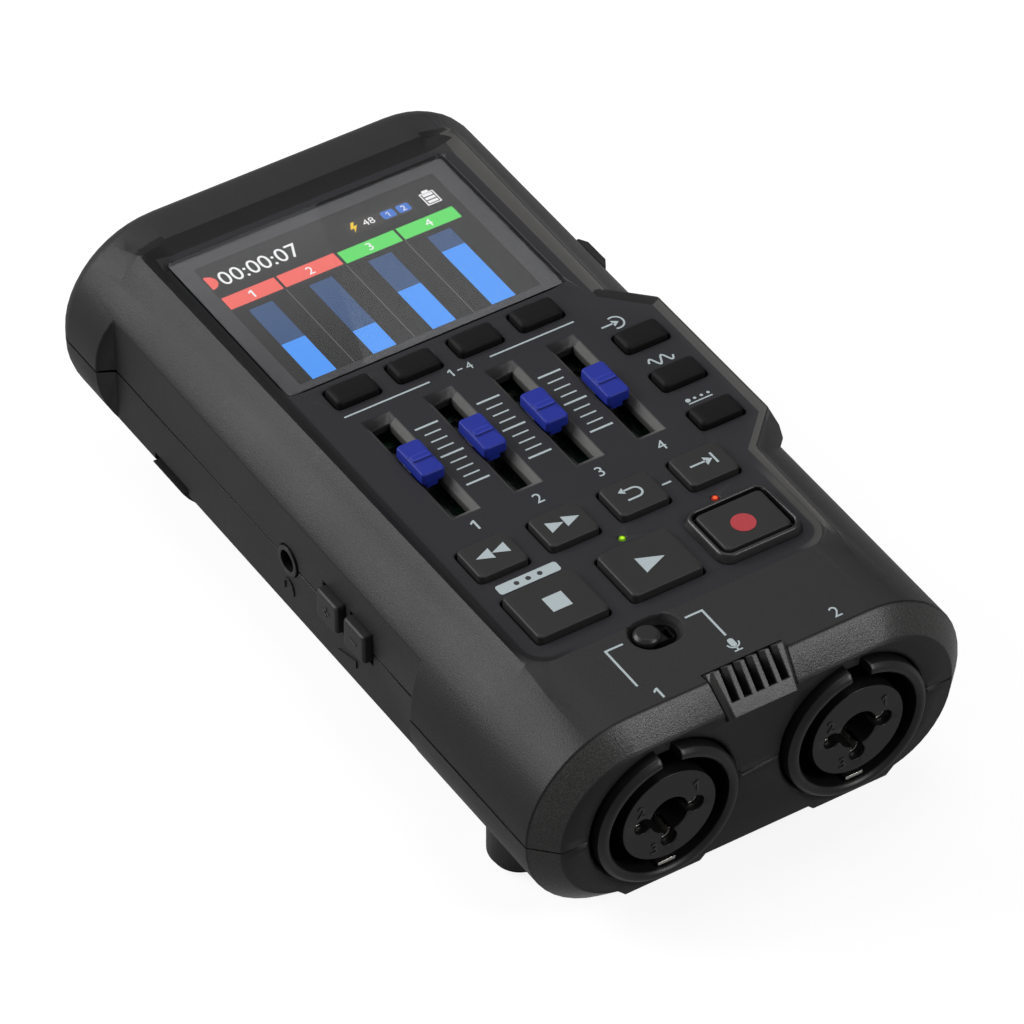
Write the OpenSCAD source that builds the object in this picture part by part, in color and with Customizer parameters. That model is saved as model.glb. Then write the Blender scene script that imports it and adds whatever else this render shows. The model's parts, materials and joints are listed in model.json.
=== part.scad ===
// Handheld multitrack recorder: case, controls, sockets and inner parts, in millimetres.
// Each piece is drawn with x to the right, y back from the front face and z up from the
// control panel, and place() then stands the feet on z = 0 with the part centred in plan.

/* [Case] */
// Width across the rounded sides
body_w = 75.6; // [75:0.2:80]
// Length from the front face to the rear face
body_l = 137.8; // [137:0.2:146]
// Height of the rounded section without the feet
body_h = 34.2; // [34:0.2:37]
// Height of the front edge above the control panel
panel_sink = 0.3; // [0.2:0.1:0.8]
// Rise of the top from the front edge to the rear
rear_rise = 0.9; // [0.4:0.1:1.6]
// Bevel round the front face
front_bevel = 3.8; // [3:0.1:4.4]
// Rounding of the rear edges
rear_round = 3.5; // [2.5:0.1:5]
// Wall of both shells
wall = 1.8; // [1.5:0.1:2]
// Thickness of the control panel
panel_t = 1.6; // [1.4:0.1:1.8]
// Gap along the parting line
seam = 0.3; // [0.2:0.05:0.5]
// Depth of the flats in the two sides
flat_sink = 2.75; // [2.2:0.05:3.2]
// Front end of the flats
flat_y = 36.5; // [34:0.5:40]
// Length of the flats
flat_l = 88; // [80:1:90]
// Height of the feet below the body
foot_h = 5; // [3:0.1:7]
// Radius of a foot's boss
foot_r = 5; // [4:0.1:6]
// Height of a foot's rubber pad
pad_h = 2.4; // [1.5:0.1:3]

/* [Control panel] */
// Left edge of the sunk panel
panel_left = -26.4; // [-27:0.1:-26]
// Right edge of the sunk panel
panel_right = 25.9; // [25.6:0.1:26.5]
// Panel in front of the large keys
panel_margin = 4; // [2:0.1:5]
// Reach of the slope behind the lens
rear_slope = 3.6; // [2:0.1:5]
// Right edge of the ear that carries the right key column
ear_x = 33.4; // [33:0.1:34]
// Length of the ear's straight edge
ear_l = 28.7; // [26:0.1:30]
// Drop of the ear's bevelled edge
ear_drop = 5; // [4:0.1:6]
// Height of the ear's rim above the panel
ear_rim = 0.7; // [0.5:0.05:0.9]
// Run of the ear's slanted ends
ear_run = 6.2; // [5.8:0.1:6.6]
// Run of the sloped wall round the panel for each unit of its height
rim_slope = 1.7; // [1.4:0.1:2]

/* [Rows] */
// Gap from the front face to the large keys
front_gap = 23.5; // [21:0.1:26]
// Gap between the two rows of transport keys
key_row_gap = 5; // [4:0.1:6]
// Gap between the small keys and the fader troughs
number_gap = 6.8; // [5:0.1:8]
// Gap between the fader troughs and the track keys
track_line_gap = 4.3; // [3.5:0.1:5]
// Gap between the track keys and the lens
lens_gap = 1.85; // [1.4:0.05:2.4]
// Gap from the lens to the rear face
rear_gap = 12.85; // [11:0.05:15]

/* [Display] */
// Lens width
lens_w = 49.5; // [48:0.1:50]
// Lens length
lens_l = 36.3; // [35:0.1:36.5]
// Lens thickness
lens_t = 1; // [0.8:0.05:1.1]
// Lens corner radius
lens_r = 3; // [2:0.1:4]
// Middle of the lens across the panel
lens_x = -0.65; // [-1:0.05:0]
// Panel between the lens and the slope behind it
lens_margin = 1.05; // [0.8:0.05:1.5]
// Width of the ledge under the lens
lens_ledge = 1.6; // [1:0.1:2.5]
// Display module width
display_w = 46; // [44:0.1:48]
// Display module length
display_l = 34; // [32:0.1:35]

/* [Faders] */
// Distance from one fader to the next
fader_pitch = 10.87; // [10.5:0.01:11]
// Place of the first fader across the panel
fader_x0 = -16.8; // [-17:0.05:-16.5]
// Travel to each side of the middle
fader_travel = 7.2; // [5:0.1:7.4]
// Trough width at the panel
trough_w = 5; // [4.6:0.1:5.6]
// Trough length at the panel
trough_l = 25.4; // [25:0.1:27]
// Trough depth
trough_d = 1.2; // [0.8:0.1:1.3]
// Slot width in the floor of the trough
slot_w = 3; // [2.4:0.1:3.2]
// Cap width
cap_w = 4; // [3.5:0.1:4.4]
// Cap length
cap_l = 7.8; // [7:0.1:8.4]
// Height of the cap's ridge above the panel
cap_top = 1.9; // [1.6:0.1:2.4]
// Lever thickness
lever_w = 1.2; // [0.9:0.1:1.4]
// Lever length along the travel
lever_l = 4; // [3.5:0.1:4.2]

/* [Keys] */
// Travel of a panel key
key_travel = 0.6; // [0.3:0.1:0.7]
// Gap round a key in its hole
key_gap = 0.3; // [0.2:0.05:0.4]
// Corner radius of the keys
key_r = 0.8; // [0.5:0.1:1.2]
// Width of the flange that holds a key under the panel
flange_w = 0.8; // [0.6:0.1:0.9]
// Thickness of that flange
flange_t = 0.8; // [0.6:0.1:1]
// Track and column key width
track_w = 7.5; // [7:0.1:8]
// Track and column key length
track_l = 4.4; // [4:0.1:5]
// Column of the three keys on the ear
column_x = 26.5; // [26:0.1:26.8]
// Pitch of that column
column_pitch = 10.15; // [9.5:0.05:10.3]
// Small transport key width
small_w = 8.5; // [8:0.1:9]
// Small transport key length
small_l = 7; // [6.5:0.1:7.2]
// First small transport key across the panel
small_x0 = -18.8; // [-19:0.1:-18.4]
// Pitch of the small transport keys
small_pitch = 12.33; // [12:0.01:12.6]
// Large transport key width
large_w = 12.3; // [11.5:0.1:12.8]
// Large transport key length
large_l = 10.4; // [10:0.1:10.6]
// First large transport key across the panel
large_x0 = -16.7; // [-17:0.1:-16.4]
// Pitch of the large transport keys
large_pitch = 16.35; // [16.2:0.05:16.6]
// Record key width
record_w = 11.6; // [10.5:0.1:11.8]
// Record key length
record_l = 8.8; // [8:0.1:9]
// Width of the record key's frame on each side
bezel_w = 1.2; // [1:0.1:1.3]
// Gap between the record key and its frame
bezel_gap = 0.6; // [0.4:0.05:0.7]
// Height of the record key's frame
bezel_h = 1.4; // [0.8:0.1:1.4]
// Radius of a light pipe
light_r = 0.55; // [0.4:0.05:0.8]

/* [Selector] */
// Dish across the panel
dish_x = -7.4; // [-8:0.1:-7]
// Dish in front of the panel's edge
dish_front = 2.9; // [2.5:0.1:3.2]
// Dish width
dish_w = 8.6; // [8.4:0.1:9]
// Dish length
dish_l = 6.8; // [6:0.1:7]
// Dish depth
dish_d = 1.1; // [0.8:0.05:1.2]
// Radius of the nub
nub_r = 1.6; // [1.3:0.1:1.7]
// Travel of the nub
nub_travel = 3; // [2:0.1:3]

/* [Sockets] */
// Distance between the two combination sockets
jack_pitch = 32.9; // [32.5:0.1:33.2]
// Depth of their axis under the parting line
jack_low = 0.4; // [0.2:0.05:0.6]
// Outer radius of the ring
ring_r = 12.2; // [11.8:0.1:12.4]
// Inner radius of the ring
ring_ir = 10.3; // [10:0.1:10.4]
// How far the ring stands out of the front face
ring_out = 1.8; // [1:0.1:2.5]
// Width of the key notch in the ring
notch_w = 3.3; // [2.5:0.1:4]
// Radius of the insert
insert_r = 8; // [7.8:0.1:8.3]
// Radius of the plug hole
plug_r = 3.25; // [3.2:0.01:3.28]
// Radius of a pin hole
pin_r = 1.4; // [1.2:0.05:1.5]
// Distance of the pin holes from the axis
pin_ring = 4.6; // [4.4:0.1:5]
// Depth of the housing behind the front face
housing_l = 27; // [25:0.5:28]
// Depth of the round gap between ring and insert
gap_l = 15; // [12:0.5:17]
// Headphone hole radius
phone_r = 1.8; // [1.75:0.01:1.9]
// Headphone barrel radius
barrel_r = 2.6; // [2.4:0.05:2.8]
// Place of the headphone socket as a share of the length
phone_at = 0.5334; // [0.52:0.001:0.54]

/* [Sides] */
// Volume key length
volume_l = 5.8; // [5:0.1:6]
// Volume key height
volume_h = 5.4; // [4.5:0.1:6]
// Place of the nearest volume key as a share of the length
volume_at = 0.3839; // [0.38:0.001:0.39]
// Pitch of the volume keys
volume_pitch = 7.6; // [7.4:0.1:8]
// How far the volume keys stand out of the flat
volume_out = 1.45; // [1.2:0.05:1.8]
// Place of the power slider as a share of the length
power_at = 0.7206; // [0.71:0.001:0.725]
// Power slider length at its foot
power_l = 7.8; // [7.6:0.1:9]
// Power slider travel to each side
power_travel = 2; // [1:0.1:2.2]

/* [Underside] */
// Room for the contacts at each end of the cells
contact_room = 3.65; // [3.2:0.05:4]
// Middle of the battery cover in front of the rear face
cover_rear = 31.6; // [31:0.1:32]
// Length of the battery cover
cover_l = 31.6; // [31:0.1:32.5]
// Thickness of the battery cover
cover_t = 1.6; // [1.3:0.1:1.7]
// Gap round the battery cover
cover_gap = 0.35; // [0.3:0.05:0.5]
// Length of the latch tab
tab_l = 9.2; // [8:0.1:12]
// How far the latch tab stands out of the rounded side
tab_out = 0.5; // [0.2:0.05:0.8]
// Finger groove above the latch tab
tab_groove = 1; // [0.5:0.1:1.4]
// Radius of a battery cell
cell_r = 7.1; // [6.9:0.05:7.15]
// Length of a battery cell
cell_l = 49.5; // [48:0.1:50]
// Place of the tripod insert as a share of the length
tripod_at = 0.4064; // [0.38:0.002:0.43]
// Radius of the tripod thread
tripod_r = 3; // [2.9:0.05:3.2]

/* [Hidden] */
eps = 0.01;
far = 200;
slip = 0.1;
sec_r = body_h / 2;
corner_r = sec_r - 0.2;
corner_x = body_w / 2 - corner_r;
seam_z = panel_sink - sec_r;
bottom_z = panel_sink - body_h;
foot_z = bottom_z - foot_h;
mid_y = (body_l - ring_out) / 2;
flat_x = body_w / 2 - flat_sink;
room_x = flat_x - wall;
rim_flat = 0.2;
rim_w = rim_slope * ear_rim + rim_flat;
ear_in = ear_x - rim_w;
rail_drop = 4.5;
rail_run = 0.8 * rail_drop;
rail_sunk = 2.5;
rail_front = 8;

// Rows along the body, with the free length shared out over the gaps
row_l = large_l + small_l + trough_l + track_l + lens_l;
gap_l_sum = front_gap + key_row_gap + number_gap + track_line_gap + lens_gap + rear_gap;
share = (body_l - row_l) / gap_l_sum;
large_y = front_gap * share + large_l / 2;
small_y = large_y + large_l / 2 + key_row_gap * share + small_l / 2;
fader_y = small_y + small_l / 2 + number_gap * share + trough_l / 2;
track_y = fader_y + trough_l / 2 + track_line_gap * share + track_l / 2;
lens_y = track_y + track_l / 2 + lens_gap * share + lens_l / 2;
light_y = small_y - small_l / 2 - key_row_gap * share / 2 - 0.3;
panel_front = large_y - large_l / 2 - panel_margin;
panel_rear = lens_y + lens_l / 2 + lens_margin;
dish_y = panel_front - dish_front;
ear_y = fader_y - 2.65;
ear_front = ear_y - ear_l / 2;
ear_rear = ear_y + ear_l / 2;
phone_y = phone_at * body_l;
volume_y0 = volume_at * body_l;
power_y = power_at * body_l;
tripod_y = tripod_at * body_l;
cover_y = body_l - cover_rear;

key_rest = 0.1;
key_spare = 0.25;
flange_top = -panel_t - key_rest;
flange_low = flange_top - flange_t;
switch_h = 1.1;
switch_w = 3.4;
plunger_r = 0.9;
plunger_h = 0.4;
board_t = 1.2;
board_top = flange_low - key_travel - key_spare - switch_h;
board_low = board_top - board_t;
board_x = 25.5;
board_front = 8;
board_rear = panel_rear + 1;
board_gap = 0.5;
wing_x = 31;
fader_body_h = 6;
fader_body_w = 7;
fader_body_over = 5;
main_top = board_low - fader_body_h - board_gap;
main_low = main_top - board_t;
main_margin = 5;
main_front = housing_l + main_margin;
main_rear = body_l - main_margin;
wing_end = 6;
post_r = 1.8;
post_hole_r = 0.9;
board_screw_bite = 1.8;
screw_x = 29;
boss_low_r = 4;
rear_row = body_l - 7.8;
screw_rows = [main_front + boss_low_r, phone_y + 10.5, rear_row];
screw_r = 1.25;
screw_head_r = 2.6;
screw_head_h = 2;
screw_bite = 8;
screw_seat = seam_z - sec_r / 2;
boss_r = 2.6;
boss_h = sec_r - 4.6;
rib_t = 1.6;
rib_end = room_x + 0.5;
post_x = board_x - 2;
board_posts = [for (x = [-post_x, post_x], y = [panel_front + 0.5, track_y + 1.6]) [x, y]];
main_post_x = 22;
main_posts = [for (x = [-main_post_x, main_post_x], y = [main_front + 3, main_rear - 6.3]) [x, y]];
main_post_r = 2.5;
foot_front_x = corner_x + 6.1;
foot_rear_x = corner_x - 0.5;
feet = [[-foot_front_x, 22], [foot_front_x, 22], [-foot_rear_x, rear_row], [foot_rear_x, rear_row]];
foot_top = seam_z - sqrt(corner_r * corner_r - pow(foot_front_x + foot_r - corner_x, 2)) + 0.6;
pad_gap = 0.1;
foot_rim = 0.6;

trough_floor_l = trough_l - 3;
trough_rim = 1;
trough_low = 0.9;
cap_base = -0.25;
cap_socket = 1;
cap_ridge_l = 1.2;
cap_ridge_w = cap_w - 0.8;
cap_step = 0.3;
carriage_w = 4;
carriage_l = 6;
carriage_top = 1.5;
carriage_low = 4.7;
carriage_gap = 0.3;

grille_w = 12;
grille_top_w = 13.6;
grille_over = 1;
grille_out = 0.9;
grille_slot = 1.24;
grille_pitch = 2.15;
grille_foot = 1.4;
grille_taper = 0.7;
capsule_r = 2.5;

jack_z = seam_z - jack_low;
ring_gap = 0.25;
housing_r = min(board_low - jack_z - 2 * slip, ring_r - 0.6);
bump_w = 13;
bump_h = 1.6;
strip_w = 3;
strip_t = 0.6;
strip_front = -0.9;
sleeve_y = 0.2;
sleeve_t = 0.4;
pin_l = 12;
insert_front = -1.3;
insert_rear = housing_l + 0.8;
plug_end = insert_rear - 1.5;
side_z = seam_z + 0.3;
phone_out = 0.3;
phone_w = 6.4;
phone_l = 12;
phone_low = 2.9;
volume_travel = 0.6;
volume_z = seam_z + 0.8;
volume_flange = 1;
volume_lip = 0.6;
volume_edge = 0.7;
side_plunger = 1;
side_switch_l = 4;
usb_y = 0.479 * body_l;
usb_l = wall + 4.6;
usb_t = 0.35;
tongue_h = 0.7;
usb_w = 9;
usb_h = 3.3;
usb_z = main_low - usb_h / 2;
card_y = 0.37 * body_l;
card_w = 14;
card_l = 14.8;
card_h = 2;
card_slot = 1;
card_rim = 1.2;
card_z = main_low - card_h / 2;
power_h = 7.4;
power_z = main_top + 1.5;
power_body_l = 10;
power_body_w = 7.85;
power_body_h = 4.1;
power_out = 1.5;
power_lift = 0.2;
stem_w = 2.2;
stem_h = 2;
stem_gap = 0.3;
stem_root = 2;
selector_w = 9;
selector_l = 4.4;
selector_stem = 1.6;
selector_slot = 2.2;
dish_wall = 1;
dish_flare = 0.4;
nub_low = 0.15 - dish_d;
nub_top = 0.85;
nub_edge = 0.4;

bay_x = cell_l / 2 + contact_room;
cover_x = bay_x + 0.2;
bay_wall = 1.6;
bay_l = 4 * cell_r + 1.6;
cell_gap = 0.4;
cell_z = cover_in(cell_l / 2) + cell_gap + cell_r;
bay_top = cell_z + cell_r + cell_gap;
cover_top = seam_z - sec_r / 2;
cell_step = 2 * cell_r + 0.5;
cell_pole_r = 2.6;
cell_pole_l = 1;
contact_w = 10;
contact_h = 2 * (cell_z - cover_in(bay_x) - cell_gap);
contact_t = 0.4;
hinge_r = cover_t / 2 + 0.15;
hinge_z = seam_z - sqrt(pow(sec_r - cover_t / 2, 2) - pow(cover_x - corner_x, 2));
hinge_pin_r = 0.65;
hinge_pin_l = 1.3;
tab_top = seam_z - sqrt(sec_r * sec_r - pow(flat_x - corner_x, 2)) + 0.4;
tab_y = cover_y + 2;
tripod_out_r = 4.5;
tripod_l = 8;
tripod_wall = 2;

small_keys = ["rewind", "forward", "undo", "bounce"];
column_keys = ["rhythm", "effect", "input"];

function fader_x(i) = fader_x0 + i * fader_pitch;
function small_x(i) = small_x0 + i * small_pitch;
function large_x(i) = large_x0 + i * large_pitch;
function column_y(i) = ear_y - 1 + (i - 1) * column_pitch;

// Height of the cover's inner face at one place across the body
function cover_in(x) = seam_z + corner_r - sec_r
    - sqrt(pow(corner_r - cover_t, 2) - pow(max(x - corner_x, 0), 2));

// Centre and plan size of every panel key
function panel_keys() = concat(
    [for (i = [0:3]) [fader_x(i), track_y, track_w, track_l]],
    [for (i = [0:2]) [column_x, column_y(i), track_w, track_l]],
    [for (i = [0:3]) [small_x(i), small_y, small_w, small_l]],
    [for (i = [0:1]) [large_x(i), large_y, large_w, large_l]],
    [[large_x(2), large_y, record_w, record_l]]
);

// Outline of a rectangle with round corners, centred on the origin
function rounded(w, l, r, n = 5) = [
    for (q = [0:3]) for (k = [0:n])
        let (a = 90 * (q + k / n), sx = (q == 0 || q == 3) ? 1 : -1, sy = q < 2 ? 1 : -1)
        [sx * (w / 2 - r) + r * cos(a), sy * (l / 2 - r) + r * sin(a)]
];

// An outline set at a height, moved in plan
function at_height(outline, z, x = 0, y = 0) = [for (p = outline) [p[0] + x, p[1] + y, z]];

// Solid skinned over rings of equally many points, from the lowest ring to the highest
module loft(rings) {
    n = len(rings[0]);
    m = len(rings);
    polyhedron(
        points = [for (r = rings) each r],
        faces = concat(
            [[for (k = [0:n - 1]) k], [for (k = [n - 1:-1:0]) (m - 1) * n + k]],
            [for (j = [0:m - 2], k = [0:n - 1]) let (a = j * n + k, b = j * n + (k + 1) % n)
                each [[a, a + n, b + n], [a, b + n, b]]]
        )
    );
}

module place() translate([0, -mid_y, base_height()]) children();
function base_height() = -foot_z;

module plate(w, l, r, z0, z1)
    translate([0, 0, z0]) linear_extrude(z1 - z0) polygon(rounded(w, l, r));

module box(x0, x1, y0, y1, z0, z1)
    translate([x0, y0, z0]) cube([x1 - x0, y1 - y0, z1 - z0]);

// Round bar along y or x, starting at a point
module bar_y(x, y, z, r, l) translate([x, y, z]) rotate([-90, 0, 0]) cylinder(r = r, h = l, $fn = 48);
module bar_x(x, y, z, r, l) translate([x, y, z]) rotate([0, 90, 0]) cylinder(r = r, h = l, $fn = 48);
module bar_z(x, y, z, r, l) translate([x, y, z]) cylinder(r = r, h = l, $fn = 48);

// Cross-section of the case at one place along y, drawn in by an inset, its top half lifted
function section(y, inset, lift) = [
    for (p = rounded(body_w - 2 * inset, body_h - 2 * inset, corner_r - inset, 12))
        [p[0], y, seam_z + p[1] + (p[1] > 0 ? lift : 0)]
];

// The rounded block of the case, drawn in by some amount on every side
module body_form(d) {
    bevel = front_bevel + 0.4 * d;
    round_r = rear_round - d;
    loft(concat(
        [for (a = [90:-18:0])
            section(body_l - rear_round + round_r * sin(a), d + round_r * (1 - cos(a)), rear_rise)],
        [section(bevel, d, 0), section(d, bevel, 0)]
    ));
}

// Flat pocket in one side, with sloped ends
module side_flat(sx) {
    run = 2 * flat_sink;
    translate([0, 0, seam_z - body_h]) linear_extrude(2 * body_h)
        polygon([for (p = [
            [flat_x, flat_y], [flat_x, flat_y + flat_l],
            [flat_x + run, flat_y + flat_l + run / 2], [flat_x + run, flat_y - run / 2]
        ]) [sx * p[0], p[1]]]);
}

module side_flats() for (sx = [-1, 1]) side_flat(sx);

// Room inside the case: under the panel, between the side flats
module case_room() intersection() {
    body_form(wall);
    box(-room_x, room_x, 0, body_l, bottom_z, -panel_t);
}

// Height of the flat top of the case at one place along y
function top_at(y) = panel_sink + rear_rise * (y - front_bevel) / (body_l - rear_round - front_bevel);

// Plan of the ear's floor with its slanted ends, grown by some amount at its free edges
function ear_plan(grow) = let (near = grow * tan(22.5), end = ear_run + grow * sqrt(2)) [
    [0, ear_front - end], [ear_in - ear_run, ear_front - end], [ear_in + grow, ear_front - near],
    [ear_in + grow, ear_rear + near], [ear_in - ear_run, ear_rear + end], [0, ear_rear + end]
];

// Raised ear over the right shoulder, with a rim and bevelled edges
module ear() loft([
    at_height(ear_plan(rim_w + ear_drop / 2), -ear_drop), at_height(ear_plan(rim_w), ear_rim)
]);

// Cross-section of the rail that lifts a shoulder beside the panel to the height of the top
function rail_section(edge, y, sunk) =
    let (z = top_at(y) - sunk, x = edge + rim_slope * top_at(y) + rim_flat) [
        [x + rail_run, y, z - rail_drop], [x, y, z],
        [corner_x - rail_run, y, z - slip], [corner_x - rail_run, y, z - rail_drop]
    ];

module rail(edge) loft([
    rail_section(edge, body_l - rear_round - 1, rail_sunk),
    rail_section(edge, panel_rear + rear_slope / 2, 0),
    rail_section(edge, panel_front + 1, 0),
    rail_section(edge, rail_front, rail_sunk)
]);

// Sunk panel with sloped walls, wider at the rear
module panel_sinking() {
    rise = rear_rise + 1;
    w = panel_right - panel_left;
    l = panel_rear - panel_front;
    x = (panel_left + panel_right) / 2;
    y = (panel_front + panel_rear) / 2;
    slope = rear_slope * rise / (panel_sink + rear_rise);
    loft([
        at_height(rounded(w, l, 4), 0, x, y),
        at_height(rounded(w + 2 * rim_slope * rise, l + slope + 0.4, 6), rise, x, y + slope / 2 - 0.2)
    ]);
    loft([at_height(ear_plan(0), 0), at_height(ear_plan(rim_slope * rise), rise)]);
}

// One fader trough down to its slot
module trough(i) translate([fader_x(i), fader_y, -trough_d]) {
    linear_extrude(trough_d + eps, scale = [trough_w / slot_w, trough_l / trough_floor_l])
        square([slot_w, trough_floor_l], center = true);
    translate([0, 0, -panel_t / 2 - 1]) linear_extrude(panel_t + 1)
        square([slot_w, trough_floor_l], center = true);
}

module jack_places() for (sx = [-1, 1]) jack_at(sx) children();

// Openings of the two combination sockets, with a dished edge
module jack_openings() jack_places() {
    translate([0, 0, -1]) cylinder(r = ring_r + ring_gap, h = front_bevel + 4, $fn = 72);
    translate([0, 0, -eps]) cylinder(r1 = ring_r + 1, r2 = ring_r + ring_gap, h = 0.7, $fn = 72);
}

// Plan of the selector's dish, grown by some amount
function dish_plan(grow) = rounded(dish_w + 2 * grow, dish_l + 2 * grow, dish_l / 2 + grow - eps);

// Openings for what comes through the two sides
module side_openings() {
    bar_x(-far, phone_y, side_z, barrel_r + slip, far - room_x + 1);
    for (i = [0:1])
        box(-far, 1 - room_x, volume_y(i) - volume_l / 2 - key_gap, volume_y(i) + volume_l / 2 + key_gap,
            volume_z - volume_h / 2 - key_gap, volume_z + volume_h / 2 + key_gap);
    box(room_x - 1, far, usb_y - usb_w / 2 - key_gap, usb_y + usb_w / 2 + key_gap,
        usb_z - usb_h / 2 - key_gap, usb_z + usb_h / 2 + key_gap);
    box(room_x - 1, far, card_y - card_w / 2 + card_rim - key_gap, card_y + card_w / 2 - card_rim + key_gap,
        card_z - card_slot / 2 - key_gap, card_z + card_slot / 2 + key_gap);
    box(room_x - 1, far, power_y - power_travel - stem_w / 2 - stem_gap,
        power_y + power_travel + stem_w / 2 + stem_gap, power_z - stem_h / 2 - stem_gap,
        power_z + stem_h / 2 + stem_gap);
}

function volume_y(i) = volume_y0 + i * volume_pitch;

// Slanted frame of the front bevel: its middle at the origin, its normal along z
module on_bevel() translate([0, front_bevel / 2, panel_sink - front_bevel / 2]) rotate([45, 0, 0]) children();

// Plan of the microphone grille, in the slanted frame
module grille_plan(grow) {
    half = front_bevel * sqrt(2) / 2;
    end = half + grille_over + grow;
    polygon([
        [-grille_w / 2 - grow, -end], [grille_w / 2 + grow, -end],
        [grille_top_w / 2 + grow, end], [-grille_top_w / 2 - grow, end]
    ]);
}

module top_shell() color("#2b2b2d") place() difference() {
    union() {
        intersection() {
            difference() {
                union() {
                    body_form(0);
                    ear();
                    rail(panel_right);
                    mirror([1, 0, 0]) rail(-panel_left);
                }
                case_room();
                box(0, ear_x - wall - 0.3, ear_front - 2.4, ear_rear + 1, seam_z, -panel_t);
            }
            box(-far, far, -far, far, seam_z + seam / 2, far);
        }
        for (i = [0:3])
            translate([fader_x(i), fader_y, 0])
                plate(trough_w + 2 * trough_rim, trough_l + 2 * trough_rim, 1, -panel_t - trough_low, -eps);
        for (p = board_posts) bar_z(p[0], p[1], board_top, post_r, -board_top - panel_t / 2);
        for (sx = [-1, 1], y = screw_rows)
            bar_z(sx * screw_x, y, seam_z, boss_r, boss_h);
        intersection() {
            body_form(wall / 2);
            for (sx = [-1, 1], y = screw_rows)
                translate([sx * (screw_x + rib_end) / 2, y, seam_z + seam])
                    linear_extrude(boss_h - 2 * seam) square([rib_end - screw_x, rib_t], center = true);
        }
    }
    side_flats();
    panel_sinking();
    jack_openings();
    side_openings();
    on_bevel() translate([0, 0, -wall - 2]) linear_extrude(far) grille_plan(slip);
    for (i = [0:3]) trough(i);
    for (k = panel_keys())
        translate([k[0], k[1], 0]) plate(k[2] + 2 * key_gap, k[3] + 2 * key_gap, key_r, -panel_t - 1, 1);
    for (x = [large_x(1), large_x(2)]) bar_z(x, light_y, -panel_t - 1, light_r + slip, far);
    translate([lens_x, lens_y, 0]) {
        plate(lens_w + 2 * slip, lens_l + 2 * slip, lens_r, -lens_t, far);
        plate(lens_w - 2 * lens_ledge, lens_l - 2 * lens_ledge, 1, -panel_t - 1, far);
    }
    translate([dish_x, dish_y, 0]) {
        loft([at_height(dish_plan(-dish_wall), -dish_d), at_height(dish_plan(dish_flare), 1)]);
        plate(nub_travel + selector_slot, selector_slot, 0.5, -panel_t - 1, far);
    }
    for (p = board_posts) bar_z(p[0], p[1], board_top - 1, post_hole_r, 3);
    for (sx = [-1, 1], y = screw_rows) bar_z(sx * screw_x, y, seam_z - 1, screw_r + slip, boss_h - 2.5);
}

// Space of the battery cover without its tab, grown by a clearance
module cover_space(gap)
    box(-cover_x - gap, cover_x, cover_y - cover_l / 2 - gap, cover_y + cover_l / 2 + gap, foot_z, cover_top);

// Space of the latch tab, grown by a clearance and by the finger groove above it
module tab_space(gap, groove)
    box(-far, slip - cover_x, tab_y - tab_l / 2 - gap, tab_y + tab_l / 2 + gap, foot_z, tab_top + groove);

module bottom_shell() color("#2a2a2c") place() difference() {
    union() {
        intersection() {
            difference() {
                body_form(0);
                case_room();
            }
            box(-far, far, -far, far, -far, seam_z - seam / 2);
        }
        intersection() {
            body_form(0);
            union() {
                box(-bay_x - bay_wall, bay_x + bay_wall, cover_y - bay_l / 2 - bay_wall,
                    cover_y + bay_l / 2 + bay_wall, bottom_z, bay_top + bay_wall);
                for (sx = [-1, 1], y = screw_rows)
                    bar_z(sx * screw_x, y, bottom_z, boss_low_r, seam_z - bottom_z);
                for (p = main_posts) bar_z(p[0], p[1], bottom_z, main_post_r, main_low - bottom_z);
                bar_z(0, tripod_y, bottom_z, tripod_out_r + tripod_wall, tripod_l + tripod_wall);
            }
        }
        for (p = feet) bar_z(p[0], p[1], foot_z + pad_h / 2, foot_r, foot_top - foot_z - pad_h / 2);
        for (sx = [-1, 1]) translate([sx * jack_pitch / 2, 0, jack_z - ring_r]) rotate([90, 0, 0])
            translate([0, 0, -front_bevel - 1]) linear_extrude(front_bevel + 1) polygon([
                [-bump_w / 2 - bump_h - 1, 1], [-bump_w / 2, -bump_h],
                [bump_w / 2, -bump_h], [bump_w / 2 + bump_h + 1, 1]
            ]);
    }
    side_flats();
    jack_openings();
    side_openings();
    box(-bay_x, bay_x, cover_y - bay_l / 2, cover_y + bay_l / 2, foot_z, bay_top);
    difference() {
        union() {
            cover_space(cover_gap);
            tab_space(cover_gap, tab_groove);
        }
        body_form(cover_t + cover_gap);
    }
    bar_y(cover_x, cover_y - cover_l / 2 - cover_gap, hinge_z, hinge_r + cover_gap, cover_l + 2 * cover_gap);
    bar_y(cover_x, cover_y - cover_l / 2 - cover_gap - hinge_pin_l, hinge_z, hinge_pin_r + slip,
        cover_l + 2 * cover_gap + 2 * hinge_pin_l);
    for (p = feet) bar_z(p[0], p[1], foot_z - 1, foot_r - foot_rim, pad_h + 1);
    for (sx = [-1, 1], y = screw_rows) {
        bar_z(sx * screw_x, y, foot_z, screw_head_r + key_gap, screw_seat - foot_z);
        bar_z(sx * screw_x, y, foot_z, screw_r + slip, far);
    }
    bar_z(0, tripod_y, foot_z, tripod_out_r + slip / 2, bottom_z + tripod_l - foot_z);
}

module mic_grille() color("#38383a") place() difference() {
    on_bevel() {
        translate([0, 0, -wall]) linear_extrude(wall) grille_plan(0);
        translate([0, 0, -eps])
            linear_extrude(grille_out + eps, scale = [1 - 2 * grille_taper / grille_top_w, 1]) grille_plan(0);
    }
    for (k = [-2:2])
        on_bevel() translate([k * grille_pitch - grille_slot / 2, -grille_foot, -far / 2])
            cube([grille_slot, far, far]);
}

module mic_capsule() color("#8d8f92") place()
    bar_z(0, board_front + 3, board_top, capsule_r, -board_top - panel_t - 0.4);

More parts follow.
